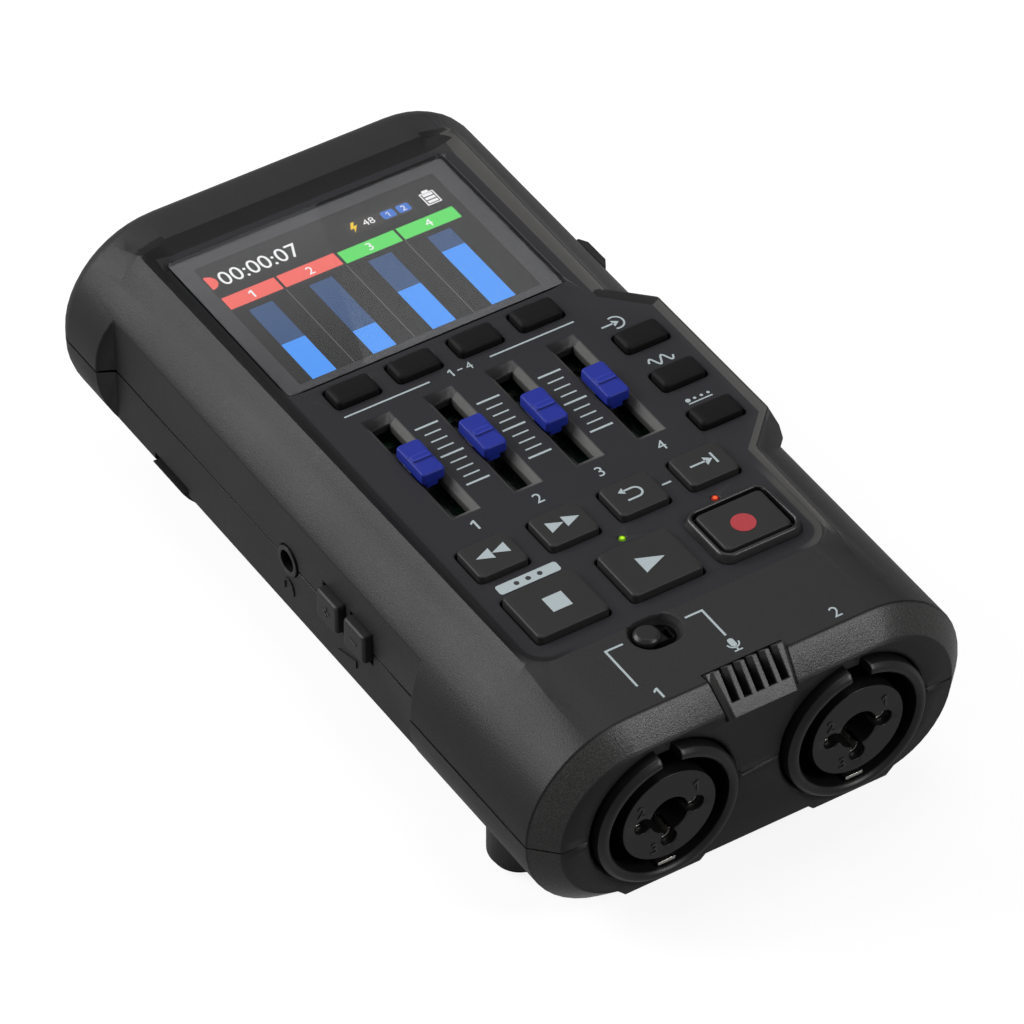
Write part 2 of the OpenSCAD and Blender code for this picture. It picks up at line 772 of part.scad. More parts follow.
module record_bezel() color("#141416") place() translate([large_x(2), large_y, 0]) difference() {
    w = record_w + 2 * bezel_gap + 2 * bezel_w;
    l = record_l + 2 * bezel_gap + 2 * bezel_w;
    linear_extrude(bezel_h, scale = [1 - bezel_w / w, 1 - bezel_w / l]) polygon(rounded(w, l, 2.2));
    plate(record_w + 2 * bezel_gap, record_l + 2 * bezel_gap, key_r + bezel_gap, -1, bezel_h + 1);
}

module display_lens() color("#0e0f12") place()
    translate([lens_x, lens_y, 0]) plate(lens_w, lens_l, lens_r, -lens_t, 0);

module display_module() color("#1d2433") place()
    translate([lens_x, lens_y, 0]) plate(display_w, display_l, 0.5, board_top, -panel_t - 0.3);

module control_board() color("#1f5a3a") place() difference() {
    union() {
        box(-board_x, board_x, board_front, board_rear, board_low, board_top);
        box(0, wing_x, ear_front - 2, ear_rear + 0.5, board_low, board_top);
    }
    for (i = [0:3])
        translate([fader_x(i), fader_y, 0])
            plate(slot_w, lever_l + 2 * fader_travel + 1, 0.3, board_low - 1, board_top + 1);
    for (p = board_posts) bar_z(p[0], p[1], board_low - 1, post_hole_r, board_t + 2);
}

module main_board() color("#1b4f35") place() difference() {
    union() {
        box(-board_x, board_x, main_front, main_rear, main_low, main_top);
        box(-wing_x, 0, volume_y0 - wing_end, phone_y + wing_end, main_low, main_top);
        box(0, wing_x, card_y - card_w / 2 - 1, power_y + power_body_l / 2 + 2, main_low, main_top);
    }
    for (sx = [-1, 1], y = screw_rows) bar_z(sx * screw_x, y, main_low - 1, boss_r + board_gap, board_t + 2);
}

module board_screws() color("#b9bcc0") place() for (p = board_posts) {
    bar_z(p[0], p[1], board_low - 1, post_r - slip, 1);
    bar_z(p[0], p[1], board_low - eps, post_hole_r - slip, board_t + board_screw_bite);
}

module case_screws() color("#3a3b3d") place() for (sx = [-1, 1], y = screw_rows) {
    bar_z(sx * screw_x, y, screw_seat - screw_head_h, screw_head_r, screw_head_h);
    bar_z(sx * screw_x, y, screw_seat - eps, screw_r, sec_r / 2 + screw_bite);
}

module key_switches() color("#c9cbcd") place() {
    for (k = panel_keys()) {
        translate([k[0], k[1], 0])
            plate(switch_w, switch_w, 0.3, board_top, board_top + switch_h - plunger_h);
        bar_z(k[0], k[1], board_top + switch_h - plunger_h - eps, plunger_r, plunger_h + eps);
    }
    tip = room_x - volume_flange - volume_travel - key_spare;
    half = switch_w / 2;
    for (i = [0:1]) {
        box(side_plunger - tip, side_plunger + side_switch_l - tip, volume_y(i) - half, volume_y(i) + half,
            volume_z - half, main_low);
        bar_x(-tip, volume_y(i), volume_z, plunger_r, side_plunger + eps);
    }
}

module light_pipe(x) bar_z(x, light_y, board_top, light_r, -board_top);
module play_light() color("#a8e000") place() light_pipe(large_x(1));
module record_light() color("#ff4a20") place() light_pipe(large_x(2));

// Ring and housing of a combination socket, turned about its axis
module jack_housing() difference() {
    rotate_extrude($fn = 96) polygon([
        [ring_ir + 0.5, -ring_out], [ring_r - 0.7, -ring_out], [ring_r, 0.7 - ring_out],
        [ring_r, front_bevel + 1], [housing_r, front_bevel + 1.6], [housing_r, housing_l],
        [insert_r + slip, housing_l], [insert_r + slip, gap_l], [ring_ir, gap_l], [ring_ir, 0.5 - ring_out]
    ]);
    translate([-notch_w / 2, -far, -far]) cube([notch_w, far - ring_ir + 0.8, far + 1.2]);
}

// Insert with the plug hole and three pin holes
module jack_insert() difference() {
    translate([0, 0, insert_front]) cylinder(r = insert_r, h = insert_rear - insert_front, $fn = 72);
    translate([0, 0, insert_front - 1]) cylinder(r = plug_r, h = plug_end - insert_front + 1, $fn = 48);
    for (a = [0, 90, 180])
        rotate(a) translate([pin_ring, 0, insert_front - 1]) cylinder(r = pin_r, h = pin_l + 1, $fn = 32);
}

module jack_at(sx) translate([sx * jack_pitch / 2, 0, jack_z]) rotate([-90, 0, 0]) children();
module jack_housing_a() color("#1c1c1d") place() jack_at(-1) jack_housing();
module jack_housing_b() color("#1c1c1d") place() jack_at(1) jack_housing();
module jack_insert_a() color("#262627") place() jack_at(-1) jack_insert();
module jack_insert_b() color("#262627") place() jack_at(1) jack_insert();

// Ground strip in the round gap, and a sleeve in each pin hole
module jack_contacts() color("#d9d6cc") place() jack_places() {
    translate([-strip_w / 2, ring_ir - strip_t - sleeve_t, strip_front])
        cube([strip_w, strip_t, gap_l - strip_front]);
    for (a = [0, 90, 180]) rotate(a) translate([pin_ring, 0, sleeve_y]) difference() {
        cylinder(r = pin_r - slip, h = insert_front + pin_l - sleeve_y, $fn = 32);
        translate([0, 0, -1]) cylinder(r = pin_r - slip - sleeve_t, h = far, $fn = 32);
        translate([-far - pin_r + 1, -far / 2, -1]) cube([far, far, far]);
    }
}

module headphone_socket() color("#2f3032") place() difference() {
    union() {
        bar_x(-flat_x - phone_out, phone_y, side_z, barrel_r, phone_out + wall + 1);
        box(slip - room_x, phone_l - room_x, phone_y - phone_w / 2, phone_y + phone_w / 2,
            side_z - phone_low, main_low);
    }
    bar_x(-far, phone_y, side_z, phone_r, far + phone_l - 1.5 - room_x);
}

module selector_switch() color("#b9bcc0") place() difference() {
    translate([dish_x, dish_y, 0]) plate(selector_w, selector_l, 0.3, board_top, -panel_t - 1.2);
    translate([dish_x, dish_y, 0]) plate(nub_travel + selector_slot, selector_slot, 0.2, board_top + 0.5, 0);
}

module power_switch() color("#b9bcc0") place() difference() {
    box(room_x - 0.4 - power_body_w, room_x - 0.4, power_y - power_body_l / 2, power_y + power_body_l / 2,
        main_top, main_top + power_body_h);
    box(wing_x - stem_root - stem_gap, far, power_y - power_travel - stem_w / 2 - stem_gap,
        power_y + power_travel + stem_w / 2 + stem_gap, power_z - stem_h / 2 - stem_gap,
        power_z + stem_h / 2 + stem_gap);
}

module usb_socket() color("#c3c5c8") place()
    translate([flat_x - 0.4 - usb_l, usb_y, usb_z]) rotate([90, 0, 90]) difference() {
        plate(usb_w, usb_h, usb_h / 2 - 0.25, 0, usb_l);
        difference() {
            plate(usb_w - 2 * usb_t, usb_h - 2 * usb_t, usb_h / 2 - 0.25 - usb_t, 1, far);
            plate(usb_w - 2.4, tongue_h, 0.2, 0, usb_l - 0.6);
        }
    }

module card_socket() color("#c3c5c8") place() difference() {
    box(room_x - 0.2 - card_l, room_x - 0.2, card_y - card_w / 2, card_y + card_w / 2,
        main_low - card_h, main_low);
    box(room_x - 0.2 - card_l + card_rim, far, card_y - card_w / 2 + card_rim, card_y + card_w / 2 - card_rim,
        card_z - card_slot / 2, card_z + card_slot / 2);
}

module battery_cells() color("#c9a227") place() for (s = [-1, 1]) {
    bar_x(-cell_l / 2, cover_y + s * cell_step / 2, cell_z, cell_r, cell_l);
    bar_x(s > 0 ? cell_l / 2 - eps : -cell_l / 2 - cell_pole_l, cover_y + s * cell_step / 2, cell_z,
        cell_pole_r, cell_pole_l + eps);
}

// A plate on the wall at each end of a cell, with a tapered spring at the flat end
module battery_contacts() color("#d0d2d4") place() for (s = [-1, 1], e = [-1, 1])
    translate([e * bay_x, cover_y + s * cell_step / 2, cell_z]) rotate([0, -90 * e, 0]) {
        plate(contact_h, contact_w, 1, 0, contact_t);
        if (s * e < 0)
            rotate_extrude($fn = 48) polygon([
                [3, contact_t - eps], [4.2, contact_t - eps], [3, contact_room], [1.8, contact_room]
            ]);
        else
            cylinder(r = cell_pole_r - 0.4, h = contact_room - cell_pole_l, $fn = 32);
    }

// Curved cover with a latch tab on the left and a rolled hinge edge on the right
module battery_cover() color("#27272a") place() union() {
    difference() {
        union() {
            intersection() {
                body_form(0);
                cover_space(0);
            }
            intersection() {
                body_form(-tab_out);
                tab_space(0, 0);
            }
        }
        body_form(cover_t);
        bar_y(cover_x, cover_y - cover_l, hinge_z, hinge_r - eps, 2 * cover_l);
    }
    bar_y(cover_x, cover_y - cover_l / 2, hinge_z, hinge_r, cover_l);
    bar_y(cover_x, cover_y - cover_l / 2 - hinge_pin_l, hinge_z, hinge_pin_r, cover_l + 2 * hinge_pin_l);
}

module tripod_insert() color("#b08d3c") place() difference() {
    bar_z(0, tripod_y, bottom_z, tripod_out_r, tripod_l);
    bar_z(0, tripod_y, bottom_z - 1, tripod_r, tripod_l);
}

module foot_pads() color("#111112") place()
    for (p = feet) bar_z(p[0], p[1], foot_z, foot_r - foot_rim - pad_gap, pad_h);

// Housing of a slide control, with a channel for its carriage
module fader_body(i) color("#a9abae") place() difference() {
    translate([fader_x(i), fader_y, 0])
        plate(fader_body_w, trough_l + fader_body_over, 0.4, board_low - fader_body_h, board_low);
    translate([fader_x(i), fader_y, 0]) {
        plate(carriage_w + 2 * carriage_gap, carriage_l + 2 * fader_travel + 1, 0.2,
            board_low - carriage_low - carriage_gap, board_low - carriage_top + carriage_gap);
        plate(lever_w + 0.8, lever_l + 2 * fader_travel + 1, 0.2, board_low - 2, board_low + 1);
    }
}

module fader_lever(i) color("#18181a") place() translate([fader_x(i), fader_y, 0]) {
    plate(lever_w, lever_l, 0.2, board_low - carriage_low + 1, cap_base + cap_socket);
    plate(carriage_w, carriage_l, 0.3, board_low - carriage_low, board_low - carriage_top);
}

// Cap with rounded corners and a low ridge across its middle, on the lever
module fader_cap(i) color("#2a3ba8") place() translate([fader_x(i), fader_y, 0]) difference() {
    union() {
        loft([
            at_height(rounded(cap_w, cap_l, 2 * cap_step), cap_base),
            at_height(rounded(cap_w, cap_l, 2 * cap_step), cap_top - 2 * cap_step),
            at_height(rounded(cap_w - cap_step, cap_l - cap_step, 2 * cap_step), cap_top - cap_step)
        ]);
        plate(cap_ridge_w, cap_ridge_l, cap_step, cap_top - cap_step - eps, cap_top);
    }
    plate(lever_w, lever_l, 0.2, -1, cap_base + cap_socket);
}

// Key with a flange under the panel and a crowned top
module panel_key(x, y, w, l, top, crown) translate([x, y, 0]) {
    plate(w + 2 * flange_w, l + 2 * flange_w, key_r, flange_low, flange_top);
    loft([
        at_height(rounded(w, l, key_r), flange_top - eps),
        at_height(rounded(w, l, key_r), top - crown),
        at_height(rounded(w - crown / 2, l - crown / 2, key_r), top - crown / 3),
        at_height(rounded(w - 2 * crown, l - 2 * crown, key_r), top)
    ]);
}

module track_key(i) color("#1d1d1f") place() panel_key(fader_x(i), track_y, track_w, track_l, 1.1, 0.7);
module column_key(i) color("#1d1d1f") place() panel_key(column_x, column_y(i), track_w, track_l, 1.1, 0.7);
module small_key(i) color("#262423") place() panel_key(small_x(i), small_y, small_w, small_l, 1, 0.35);
module stop_key() color("#262423") place() panel_key(large_x(0), large_y, large_w, large_l, 1.2, 0.4);
module play_key() color("#262423") place() panel_key(large_x(1), large_y, large_w, large_l, 1.2, 0.4);
module record_key() color("#262423") place()
    panel_key(large_x(2), large_y, record_w, record_l, bezel_h + 0.4, 0.4);

module input_selector() color("#171718") place() translate([dish_x - nub_travel / 2, dish_y, 0]) {
    bar_z(0, 0, nub_low, nub_r, nub_top - nub_edge - nub_low);
    translate([0, 0, nub_top - nub_edge - eps])
        cylinder(r1 = nub_r, r2 = nub_r - nub_edge, h = nub_edge + eps, $fn = 48);
    plate(selector_stem, selector_stem, 0.2, board_top + 0.8, 0);
    translate([nub_travel / 2, 0, 0]) plate(4, 3.6, 0.3, -panel_t - 0.8, -panel_t - 0.2);
}

// Side key with a flange behind the wall
module volume_key(i) color("#29292b") place() translate([0, volume_y(i), volume_z]) rotate([0, -90, 0]) {
    out = flat_x + volume_out;
    plate(volume_h + 2 * volume_lip, volume_l + 2 * volume_lip, 0.4,
        room_x - volume_flange, room_x - key_rest);
    loft([
        at_height(rounded(volume_h, volume_l, 0.6), room_x - key_rest - eps),
        at_height(rounded(volume_h, volume_l, 0.6), out - volume_edge / 2),
        at_height(rounded(volume_h - volume_edge, volume_l - volume_edge, 0.6), out)
    ]);
}

module power_slider() color("#1f1f21") place() translate([0, power_y, power_z]) {
    translate([0, 0, -power_h / 2]) linear_extrude(power_h) polygon([
        [flat_x + power_lift, -power_l / 2], [flat_x + power_lift, power_l / 2],
        [flat_x + 3 * power_lift, power_l / 2], [flat_x + power_out, power_l / 2 - power_out],
        [flat_x + power_out, power_out - power_l / 2], [flat_x + 3 * power_lift, -power_l / 2]
    ]);
    translate([wing_x - stem_root, -stem_w / 2, -stem_h / 2])
        cube([flat_x + power_lift + slip - wing_x + stem_root, stem_w, stem_h]);
}

top_shell();
bottom_shell();
mic_grille();
mic_capsule();
record_bezel();
display_lens();
display_module();
control_board();
main_board();
board_screws();
case_screws();
key_switches();
play_light();
record_light();
jack_housing_a();
jack_housing_b();
jack_insert_a();
jack_insert_b();
jack_contacts();
headphone_socket();
selector_switch();
power_switch();
usb_socket();
card_socket();
battery_cells();
battery_contacts();
battery_cover();
tripod_insert();
foot_pads();
for (i = [0:3]) {
    fader_body(i);
    fader_lever(i);
    fader_cap(i);
    track_key(i);
    small_key(i);
}
for (i = [0:2])
    column_key(i);
stop_key();
play_key();
record_key();
input_selector();
volume_key(0);  // volume_down_key
volume_key(1);  // volume_up_key
power_slider();
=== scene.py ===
"""Looks of a handheld multitrack recorder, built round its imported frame."""

import json
import math

import bmesh
import bpy
from mathutils import Matrix, Vector


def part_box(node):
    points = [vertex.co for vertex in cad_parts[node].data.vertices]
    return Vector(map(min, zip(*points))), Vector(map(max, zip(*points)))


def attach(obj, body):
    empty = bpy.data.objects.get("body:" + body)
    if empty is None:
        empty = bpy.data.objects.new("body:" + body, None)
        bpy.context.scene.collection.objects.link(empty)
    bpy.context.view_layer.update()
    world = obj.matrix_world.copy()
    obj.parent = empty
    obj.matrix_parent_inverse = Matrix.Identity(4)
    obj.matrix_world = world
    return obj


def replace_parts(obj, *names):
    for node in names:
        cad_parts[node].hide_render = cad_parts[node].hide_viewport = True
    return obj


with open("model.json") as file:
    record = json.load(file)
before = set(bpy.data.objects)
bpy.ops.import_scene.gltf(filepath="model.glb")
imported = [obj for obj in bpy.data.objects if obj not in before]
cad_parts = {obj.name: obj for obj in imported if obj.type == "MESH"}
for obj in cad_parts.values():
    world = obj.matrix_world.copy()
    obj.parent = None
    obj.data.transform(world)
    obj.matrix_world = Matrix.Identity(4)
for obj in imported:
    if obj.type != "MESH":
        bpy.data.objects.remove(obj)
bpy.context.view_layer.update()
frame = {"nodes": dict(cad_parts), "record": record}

MM = 0.001
# The drawing's own frame: x right, y back from the front face, z up from the panel
FRONT_Y = -68.0
PANEL_Z = 38.9
# Height of printed ink above what it is printed on
INK = 0.03
# Top of the case in front of the panel, which rises a little to the rear
SHELF_Y = 3.8
SHELF_Z = 0.3
SHELF_RISE = 0.9
SHELF_RUN = 130.5
# Edges of the sunk panel, the run of its walls for each unit of height, and the faders on it
PANEL_LEFT = -26.4
PANEL_RIGHT = 25.9
RIM_SLOPE = 1.7
PANEL_FRONT = 19.5
PANEL_BEND = 4.6
FADER_LEFT = -16.8
FADER_STEP = 10.87
FADER_X = [FADER_LEFT + FADER_STEP * i for i in range(4)]
FADER_Y = 65.4
# Where the walls of the ear, of the fader troughs and of the panel's rear end lie, for their painted shade
# and painted highlights
EAR_WALL = (31.9, 33.3)
EAR_FRONT = (40.5, 48.4)
EAR_REAR = (77.2, 84.5)
TROUGH_SPAN = (52.5, 76.4)
REAR_WALL = (126.1, 130.0)
# Line of painted shade behind the front bevel, the selector's dish and its nub at rest
BEVEL_SHADE_LINE = 3.85
DISH_X = -7.4
DISH_Y = 16.6
DISH_HALF = 0.9
NUB_X = -8.9
# Middles of the two sockets at the front
SOCKET_X = 16.45
SOCKET_Z = -17.2
# Ways that the front and the left side look
FRONT_WAY = (0.0, -1.0, 0.0)
LEFT_WAY = (-1.0, 0.0, 0.0)
# Edges that turn by more than these degrees are rounded, and after that shown sharp
ROUND_ANGLE = 32.0
SHARP_ANGLE = 38.0
# Room that a rounded edge needs beside it, in widths of the rounding
EDGE_ROOM = 2.4
# How far the record key's look is lowered, and the height of the part that moves
RECORD_DROP = 0.4
KEY_CROWN = 0.6
# Height of a figure as a share of its type size
FIGURE_SHARE = 0.7

record = frame["record"]
BODY_OF = {name: body for body, names in record["behaviour"]["bodies"].items() for name in names}
SLOT_OF = {row["node"]: row["material_slot"] for row in record["subparts"]}


# Sockets of node trees as values in Python expressions


class Wire:
    """An output socket; arithmetic on it adds a Math node to its tree."""

    def __init__(self, tree, socket):
        self.tree = tree
        self.socket = socket

    def math(self, operation, *values):
        return node(self.tree, "ShaderNodeMath", {"operation": operation}, dict(enumerate(values)))

    def out(self, name):
        return Wire(self.tree, self.socket.node.outputs[name])

    def __add__(self, other):
        return self.math("ADD", self, other)

    def __radd__(self, other):
        return self.math("ADD", other, self)

    def __sub__(self, other):
        return self.math("SUBTRACT", self, other)

    def __rsub__(self, other):
        return self.math("SUBTRACT", other, self)

    def __mul__(self, other):
        return self.math("MULTIPLY", self, other)

    def __rmul__(self, other):
        return self.math("MULTIPLY", other, self)

    def __truediv__(self, other):
        return self.math("DIVIDE", self, other)

    def __mod__(self, other):
        return self.math("FLOORED_MODULO", self, other)

    def __lt__(self, other):
        return self.math("LESS_THAN", self, other)

    def __gt__(self, other):
        return self.math("GREATER_THAN", self, other)

    def __abs__(self):
        return self.math("ABSOLUTE", self)

    def at_least(self, other):
        return self.math("MAXIMUM", self, other)

    def at_most(self, other):
        return self.math("MINIMUM", self, other)


def node(tree, kind, settings=None, inputs=None, output=0):
    """Adds a node, sets it up, then fills or links its inputs."""
    made = tree.nodes.new(kind)
    for key, value in (settings or {}).items():
        setattr(made, key, value)
    for key, value in (inputs or {}).items():
        if isinstance(value, Wire):
            tree.links.new(value.socket, made.inputs[key])
        else:
            made.inputs[key].default_value = value
    return Wire(tree, made.outputs[output]) if made.outputs else None


def blend(tree, factor, first, second):
    """Mixes two colours."""
    return node(tree, "ShaderNodeMix", {"data_type": "RGBA"}, {0: factor, 6: first, 7: second}, output=2)


def noise(tree, place, scale, detail=2.0, roughness=0.5, stretch=None):
    if stretch:
        place = node(tree, "ShaderNodeVectorMath", {"operation": "MULTIPLY"}, {0: place, 1: stretch})
    return node(tree, "ShaderNodeTexNoise", {},
                {"Vector": place, "Scale": scale, "Detail": detail, "Roughness": roughness})


def ramp(value, low, high):
    """Smooth step from 0 at low to 1 at high."""
    return node(value.tree, "ShaderNodeMapRange", {"interpolation_type": "SMOOTHSTEP"},
                {"Value": value, "From Min": low, "From Max": high})


def between(value, low, high):
    """1 where a value lies between two others, 0 elsewhere."""
    return (value > low) * (value < high)


def distance(aside, ahead):
    return aside.math("SQRT", aside * aside + ahead * ahead)


def drawn_place(tree, place):
    """A place on a surface in the drawing's own frame: across, depth and rise in millimetres."""
    split = node(tree, "ShaderNodeSeparateXYZ", {}, {"Vector": place})
    return split.out("X") / MM, split.out("Y") / MM - FRONT_Y, split.out("Z") / MM - PANEL_Z


def rgb(red, green, blue):
    return (red, green, blue, 1.0)


# Materials


def new_material(name):
    made = bpy.data.materials.new(name)
    made.use_nodes = True
    tree = made.node_tree
    tree.nodes.clear()
    place = node(tree, "ShaderNodeTexCoord", output="Object")
    return made, tree, place


def close_material(tree, shader):
    node(tree, "ShaderNodeOutputMaterial", {}, {"Surface": shader})


# Scales of a surface's broad patches and of its handling marks
PATCH_SCALE = 60.0
MARK_SCALE = 240.0


def grained(name, dark, light, rough, grain, depth, spread=0.12, fixed=None, stretch=None, tint=None,
            stain=None):
    """Moulded, plated or painted surface with a fine grain, broad patches and faint handling marks."""
    made, tree, place = new_material(name)
    fine = noise(tree, place, grain, 3.0, 0.6, stretch)
    broad = noise(tree, place, PATCH_SCALE, 3.0)
    marks = ramp(noise(tree, place, MARK_SCALE, 6.0, 0.7), 0.56, 0.74)
    colour = blend(tree, broad * 0.55 + fine * 0.45, dark, light)
    height = fine
    shift = 0.0
    if tint:
        colour, height, shift = tint(tree, place, colour, fine)
    if stain:
        colour = stain(tree, place, colour)
    uneven = (fine - 0.5) * spread + (broad - 0.5) * spread + rough - marks * (spread * 0.35) + shift
    bump = node(tree, "ShaderNodeBump", {}, {"Strength": 1.0, "Distance": depth * MM, "Height": height})
    values = {"Base Color": colour, "Roughness": uneven, "Normal": bump}
    values.update(fixed or {})
    close_material(tree, node(tree, "ShaderNodeBsdfPrincipled", {}, values))
    return made


def bend_margin(from_side, from_front):
    """How far a place lies inside the rounded front corner of the panel, in millimetres."""
    aside = (PANEL_BEND - from_side).at_least(0.0)
    ahead = (PANEL_BEND - from_front).at_least(0.0)
    return PANEL_BEND - distance(aside, ahead)


def panel_walls(across, depth, rise):
    """Masks of the walls round the panel that get painted shade where they lie in shade, and of those that
    get painted highlights where they catch the light.
    """
    run = ((depth - SHELF_Y) * (SHELF_RISE / SHELF_RUN) + SHELF_Z) * RIM_SLOPE
    beside = between(depth, 19.6, 129.0) * ramp(depth, 19.4, 21.5)
    ear_end = between(rise, 0.05, 0.68)
    # dark marks walls for painted shade, pale marks walls for painted highlights
    dark = (across < PANEL_LEFT) * (across + run > PANEL_LEFT - 0.1) * between(rise, -0.2, 1.5)
    dark = dark * beside * ramp(depth, 20.0, 26.0)
    dark = dark + between(depth, *REAR_WALL) * between(rise, 0.05, 1.02) * (abs(across) < 27.6)
    dark = dark + between(across + depth, 109.1, 111.0) * between(depth, *EAR_REAR) * ear_end
    pale = (across > PANEL_RIGHT) * (across - run < PANEL_RIGHT + 0.1) * between(rise, 0.04, 1.3) * beside
    pale = pale + between(across, *EAR_WALL) * between(rise, 0.04, 0.66) * beside
    off = abs((across - FADER_LEFT + FADER_STEP / 2) % FADER_STEP - FADER_STEP / 2)
    in_trough = (off < 2.6) * between(rise, -3.0, -0.04) * between(across, -20.0, 19.0)
    pale = pale + in_trough * between(depth, *TROUGH_SPAN)
    pale = pale + between(depth - across, 14.5, 16.4) * between(depth, *EAR_FRONT) * ear_end
    return dark.at_most(1.0), pale.at_most(1.0)


def dish_masks(across, depth, rise):
    """Masks of the selector's dish, which gets painted shade, and of its lit wall on the right, which is
    mostly kept out of it.
    """
    reach = distance((abs(across - DISH_X) - DISH_HALF).at_least(0.0), depth - DISH_Y)
    dish = (reach < 3.5) * between(rise, -2.5, 0.33)
    return dish, dish * ramp(across, -5.2, -3.6) * ramp(rise, -0.7, -0.2)


def panel_tint(tree, place, colour, fine):
    """Bluish smooth panel with painted light on the faces above it, painted shade and painted highlights on
    and beside its walls, painted shade in the selector's dish and along the line behind the front bevel, and
    a painted highlight on the glossier front bevel, broken up by a coarse speckle.
    """
    across, depth, rise = drawn_place(tree, place)
    level = (1.0 - ramp(abs(rise), 0.08, 0.16)) * (abs(across) < 33.5) * (depth > 19.3)
    left_margin = bend_margin(across - PANEL_LEFT, depth - PANEL_FRONT)
    right_margin = bend_margin(PANEL_RIGHT - across, depth - PANEL_FRONT)
    # painted shade: a dark band on the panel beside its left wall and round its front-left bend
    left_painted_shade = level * (1.0 - ramp(left_margin, 0.7, 1.15)) * (1.0 - ramp(across, -22.5, -17.5))
    left_painted_shade = left_painted_shade * (across < 0.0) * (left_margin > 0.0)
    # painted highlight: a pale band on the panel beside its right wall
    right_painted_highlight = level * (1.0 - ramp(right_margin, 0.9, 1.3)) * ramp(across, 19.5, 23.0)
    right_painted_highlight = right_painted_highlight * (1.0 - ramp(depth, 33.0, 40.5)) * (right_margin > 0.0)
    inside = level * (left_margin > 0.0) * (1.0 - (right_margin < 0.0) * (depth < 41.0))
    painted_shade_walls, painted_highlight_walls = panel_walls(across, depth, rise)
    dish, dish_right = dish_masks(across, depth, rise)
    # painted highlight on the front bevel, broken up by a coarse speckle of grain
    bevel = ramp(depth, 0.1, 0.35) * (1.0 - ramp(depth, 3.5, 3.7))
    coarse = noise(tree, place, 4300.0, 2.0)
    # painted shade along the line behind the front bevel
    line = (1.0 - ramp(abs(depth - BEVEL_SHADE_LINE), 0.08, 0.17)) * (rise > -16.5)
    # colour of the painted highlights on the panel's walls and beside its right wall
    painted_highlight_grey = rgb(0.066, 0.0645, 0.062)
    layers = [
        # painted light: faces above the panel's level are lighter, the barrel below them darker
        (ramp(rise, -1.2, 0.25) * 0.65, rgb(0.029, 0.029, 0.0305)),
        (inside, rgb(0.0205, 0.0205, 0.0238)),
        (left_painted_shade * 0.85, rgb(0.004, 0.004, 0.0045)),
        (right_painted_highlight * 0.8, painted_highlight_grey),
        (bevel * (ramp(coarse, 0.35, 0.7) * 0.5 + 0.3), rgb(0.075, 0.075, 0.072)),
        # painted highlights and painted shade on the walls round the panel
        (painted_highlight_walls * 0.85, painted_highlight_grey),
        (painted_shade_walls, rgb(0.0045, 0.0045, 0.005)),
        (line, rgb(0.003, 0.003, 0.003)),
        # painted shade in the selector's dish, less on its lit right wall
        (dish - dish_right * 0.8, rgb(0.0015, 0.0015, 0.0015)),
    ]
    for share, layer in layers:
        colour = blend(tree, share, colour, layer)
    return colour, fine * (1.0 - inside * 0.62) + coarse * bevel * 0.5, dish * 0.35 - bevel * 0.18


def nub_tint(tree, place, colour, fine):
    """Painted shade: the part of the selector under the nub is painted black."""
    under = drawn_place(tree, place)[2] < -0.8
    return blend(tree, under, colour, rgb(0.001, 0.001, 0.001)), fine, under * 0.4


def cap_tint(tree, place, colour, fine):
    """Painted shade at the foot of a cap's ridge and a painted highlight along the edge on top of it."""
    depth, rise = drawn_place(tree, place)[1:]
    off = abs(depth - FADER_Y)
    # foot is painted shade below the ridge, edge a painted highlight on its top
    foot = (1.0 - ramp(abs(off - 0.7), 0.03, 0.16)) * between(rise, 1.5, 1.82)
    edge = (1.0 - ramp(abs(off - 0.5), 0.04, 0.16)) * (rise > 1.8)
    colour = blend(tree, foot * 0.75, colour, rgb(0.004, 0.007, 0.08))
    return blend(tree, edge * 0.7, colour, rgb(0.04, 0.065, 0.5)), fine, 0.0


# Cells of the display: their pitch in millimetres and how far their edges fade
CELL_PITCH = 0.14
CELL_FADE = 0.16


def lit(name, colour, strength):
    """Lit dots of a display, seen as a faint lattice of cells."""
    made, tree, place = new_material(name)
    split = node(tree, "ShaderNodeSeparateXYZ", {}, {"Vector": place})
    cells = [ramp(abs((split.out(axis) / (CELL_PITCH * MM)) % 1.0 - 0.5), 0.36, 0.5) for axis in ("X", "Y")]
    edge = cells[0].at_least(cells[1])
    dim = rgb(*[c * (1.0 - CELL_FADE) for c in colour[:3]])
    glow = blend(tree, edge * 0.8 + noise(tree, place, 500.0) * 0.2, colour, dim)
    close_material(tree, node(tree, "ShaderNodeBsdfPrincipled", {}, {
        "Base Color": rgb(0.005, 0.005, 0.005), "Roughness": 0.4, "Specular IOR Level": 0.0,
        "Emission Color": glow, "Emission Strength": strength,
    }))
    return made


def glowing(name, core, rim, x, y):
    """Small light that fades from its middle to its edge."""
    made, tree, place = new_material(name)
    across, depth = drawn_place(tree, place)[:2]
    reach = distance(across - x, depth - y) + noise(tree, place, 3000.0) * 0.08
    close_material(tree, node(tree, "ShaderNodeBsdfPrincipled", {}, {
        "Base Color": rgb(0.01, 0.006, 0.005), "Roughness": 0.35, "Specular IOR Level": 0.2,
        "Emission Color": blend(tree, ramp(reach, 0.14, 0.52), core, rim), "Emission Strength": 1.2,
    }))
    return made


def lens_glass():
    made, tree, place = new_material("lens_clear")
    smear = noise(tree, place, 90.0, 5.0, 0.65)
    close_material(tree, node(tree, "ShaderNodeBsdfPrincipled", {}, {
        "Base Color": rgb(0.97, 0.97, 0.98), "Transmission Weight": 1.0, "IOR": 1.49,
        "Roughness": 0.012 + ramp(smear, 0.55, 0.8) * 0.03,
    }))
    return made


